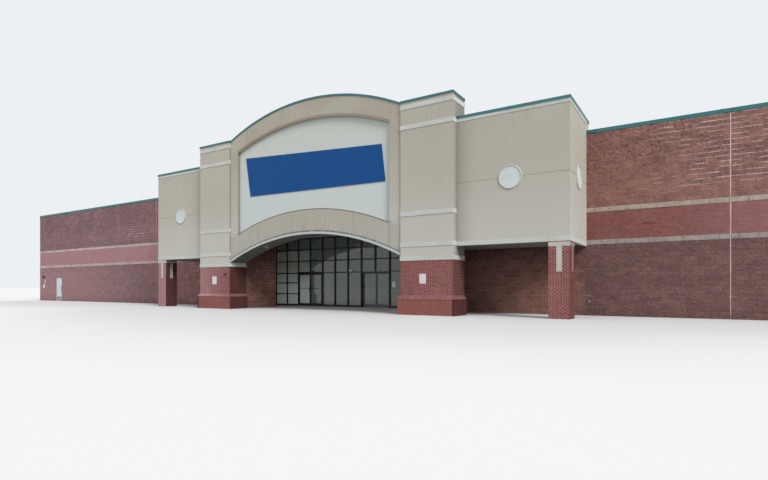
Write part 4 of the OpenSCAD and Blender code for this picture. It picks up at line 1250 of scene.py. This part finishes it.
exitLook = {"x": (-33.789, -32.910), "front": 0.02, "kick": (0.08, 0.33), "handle": (0.82, 1.28),
            "guard": (0.7, 1.4), "lockZ": 1.22, "viewerZ": 1.5, "screwZ": (0.1, 0.205, 0.31)}
kit = Shape()
x0, x1 = exitLook["x"]
front = exitLook["front"]
for part, left, right, out, back, edge in (("kick", x0 + 0.03, x1 - 0.03, 0.003, 0.001, 0.001),
                                           ("handle", x1 - 0.105, x1 - 0.035, 0.006, 0.001, 0.003),
                                           ("guard", x1 - 0.02, x1 + 0.018, 0.005, -0.0015, 0.001)):
    low, high = exitLook[part]
    kit.slab((left, front - out, low), (right, front + back, high), edge)
kit.stud(x1 - 0.07, exitLook["lockZ"], front - 0.005, front - 0.014, 0.018, 0.015)
kit.stud((x0 + x1) / 2, exitLook["viewerZ"], front + 0.001, front - 0.006, 0.013, 0.01)
for x in (x0 + 0.05, x1 - 0.05):
    for z in exitLook["screwZ"]:
        kit.stud(x, z, front - 0.002, front - 0.006, 0.007, 0.005, 10)
kit.done("exit_fittings", "steelPaint", "steel", "exit_leaf")

# Welded seams of the roof sheet, and the sheet turned up at the parapets
roofLook = {"top": 7.25, "half": 36.7, "y": (0.3, 47.7), "seam": (-35.53, -35.47), "thick": 0.006,
            "step": 3.0, "upstand": 0.3}
seam = Shape()
roofTop = roofLook["top"]
half, (y0, y1), (x0, x1) = roofLook["half"], roofLook["y"], roofLook["seam"]
seam.slab((x0, y0 + 0.12, roofTop - 0.001), (x1, y1 - 0.12, roofTop + roofLook["thick"]), 0.002)
inRows("roof_seams", [(seam, 24, (roofLook["step"], 0, 0))], "roofSheet")
turned = Shape()
up = roofLook["upstand"]
curb = [(0.0, 0.0), (0.0, 0.13), (0.006, 0.13), (0.09, 0.03), (0.12, 0.012), (up, 0.008), (up, 0.014),
        (up + 0.03, 0.014), (up + 0.03, 0.0)]
ends = [(-half, y0, roofTop), (half, y0, roofTop), (half, y1, roofTop), (-half, y1, roofTop)]
for i, outward in enumerate(((0, 1, 0), (-1, 0, 0), (0, -1, 0), (1, 0, 0))):
    turned.sweep([ends[i], ends[(i + 1) % 4]], outward, curb)
turned.done("roof_upstands", "roofSheet", "roof_sheet")

# Camera at the photograph's place
cameraSizes = {"place": (8.6685, -22.84775, 0.615), "turn": 32.16, "lens": 23.56, "rise": 0.062}
camera = linked("photoCamera", bpy.data.cameras.new("photoCamera"))
camera.location = cameraSizes["place"]
camera.rotation_euler = (math.radians(90), 0, math.radians(cameraSizes["turn"]))
camera.data.lens = cameraSizes["lens"]
camera.data.sensor_width = 36
camera.data.shift_y = cameraSizes["rise"]
camera.data.clip_end = 2000
bpy.context.scene.camera = camera

# Pale floor, pale surroundings and soft light. The floor looks pale but throws little light up under the
# porches.
stageLook = {"floorSeen": 0.62, "floorGlow": 0.4, "around": (0.84, 0.87, 0.90, 1.0), "sky": 0.74,
             "skySoft": 22.0}
sunRows = [("keyLight", 2.7, (52, 0, 66)), ("frontLight", 0.25, (62, 0, -14)),
           ("backLight", 1.0, (50, 0, 200))]
floorMesh = bpy.data.meshes.new("studioFloor")
reach = 600
corners = [(-reach, -reach, 0), (reach, -reach, 0), (reach, reach, 0), (-reach, reach, 0)]
floorMesh.from_pydata(corners, [], [(0, 1, 2, 3)])
floor = linked("studioFloor", floorMesh)
floor.location.z = -0.0005


def backgroundRays(graph):  # what the camera, glass and metal see, apart from the light on the object
    path = graph.add("ShaderNodeLightPath")
    return path.out("Is Camera Ray").most(path.out("Is Glossy Ray")).most(path.out("Is Transmission Ray"))


def floorPaint(graph):
    seen, glow = stageLook["floorSeen"], stageLook["floorGlow"]
    tone = graph.blend(backgroundRays(graph), (glow, glow, glow, 1), (seen, seen, seen, 1))
    return {"Base Color": tone, "Roughness": 0.9}


floorMesh.materials.append(makeFinish("studioFloor", floorPaint, 0.1))
world = bpy.data.worlds.new("studioWorld")
bpy.context.scene.world = world
world.use_nodes = True
world.node_tree.nodes.clear()
sky = Graph(world.node_tree)
plain = sky.add("ShaderNodeBackground", {"Color": (0.97, 0.98, 1.0, 1.0), "Strength": stageLook["sky"]})
shown = sky.add("ShaderNodeBackground", {"Color": stageLook["around"], "Strength": 1.0})
mixed = sky.add("ShaderNodeMixShader", {0: backgroundRays(sky), 1: plain, 2: shown})
sky.feed(world.node_tree.nodes.new("ShaderNodeOutputWorld"), "Surface", mixed)
for name, strength, turn in sunRows:
    lamp = linked(name, bpy.data.lights.new(name, "SUN"))
    lamp.data.energy = strength
    lamp.data.angle = math.radians(stageLook["skySoft"])
    lamp.rotation_euler = [math.radians(value) for value in turn]
bpy.context.scene.view_settings.view_transform = "Standard"
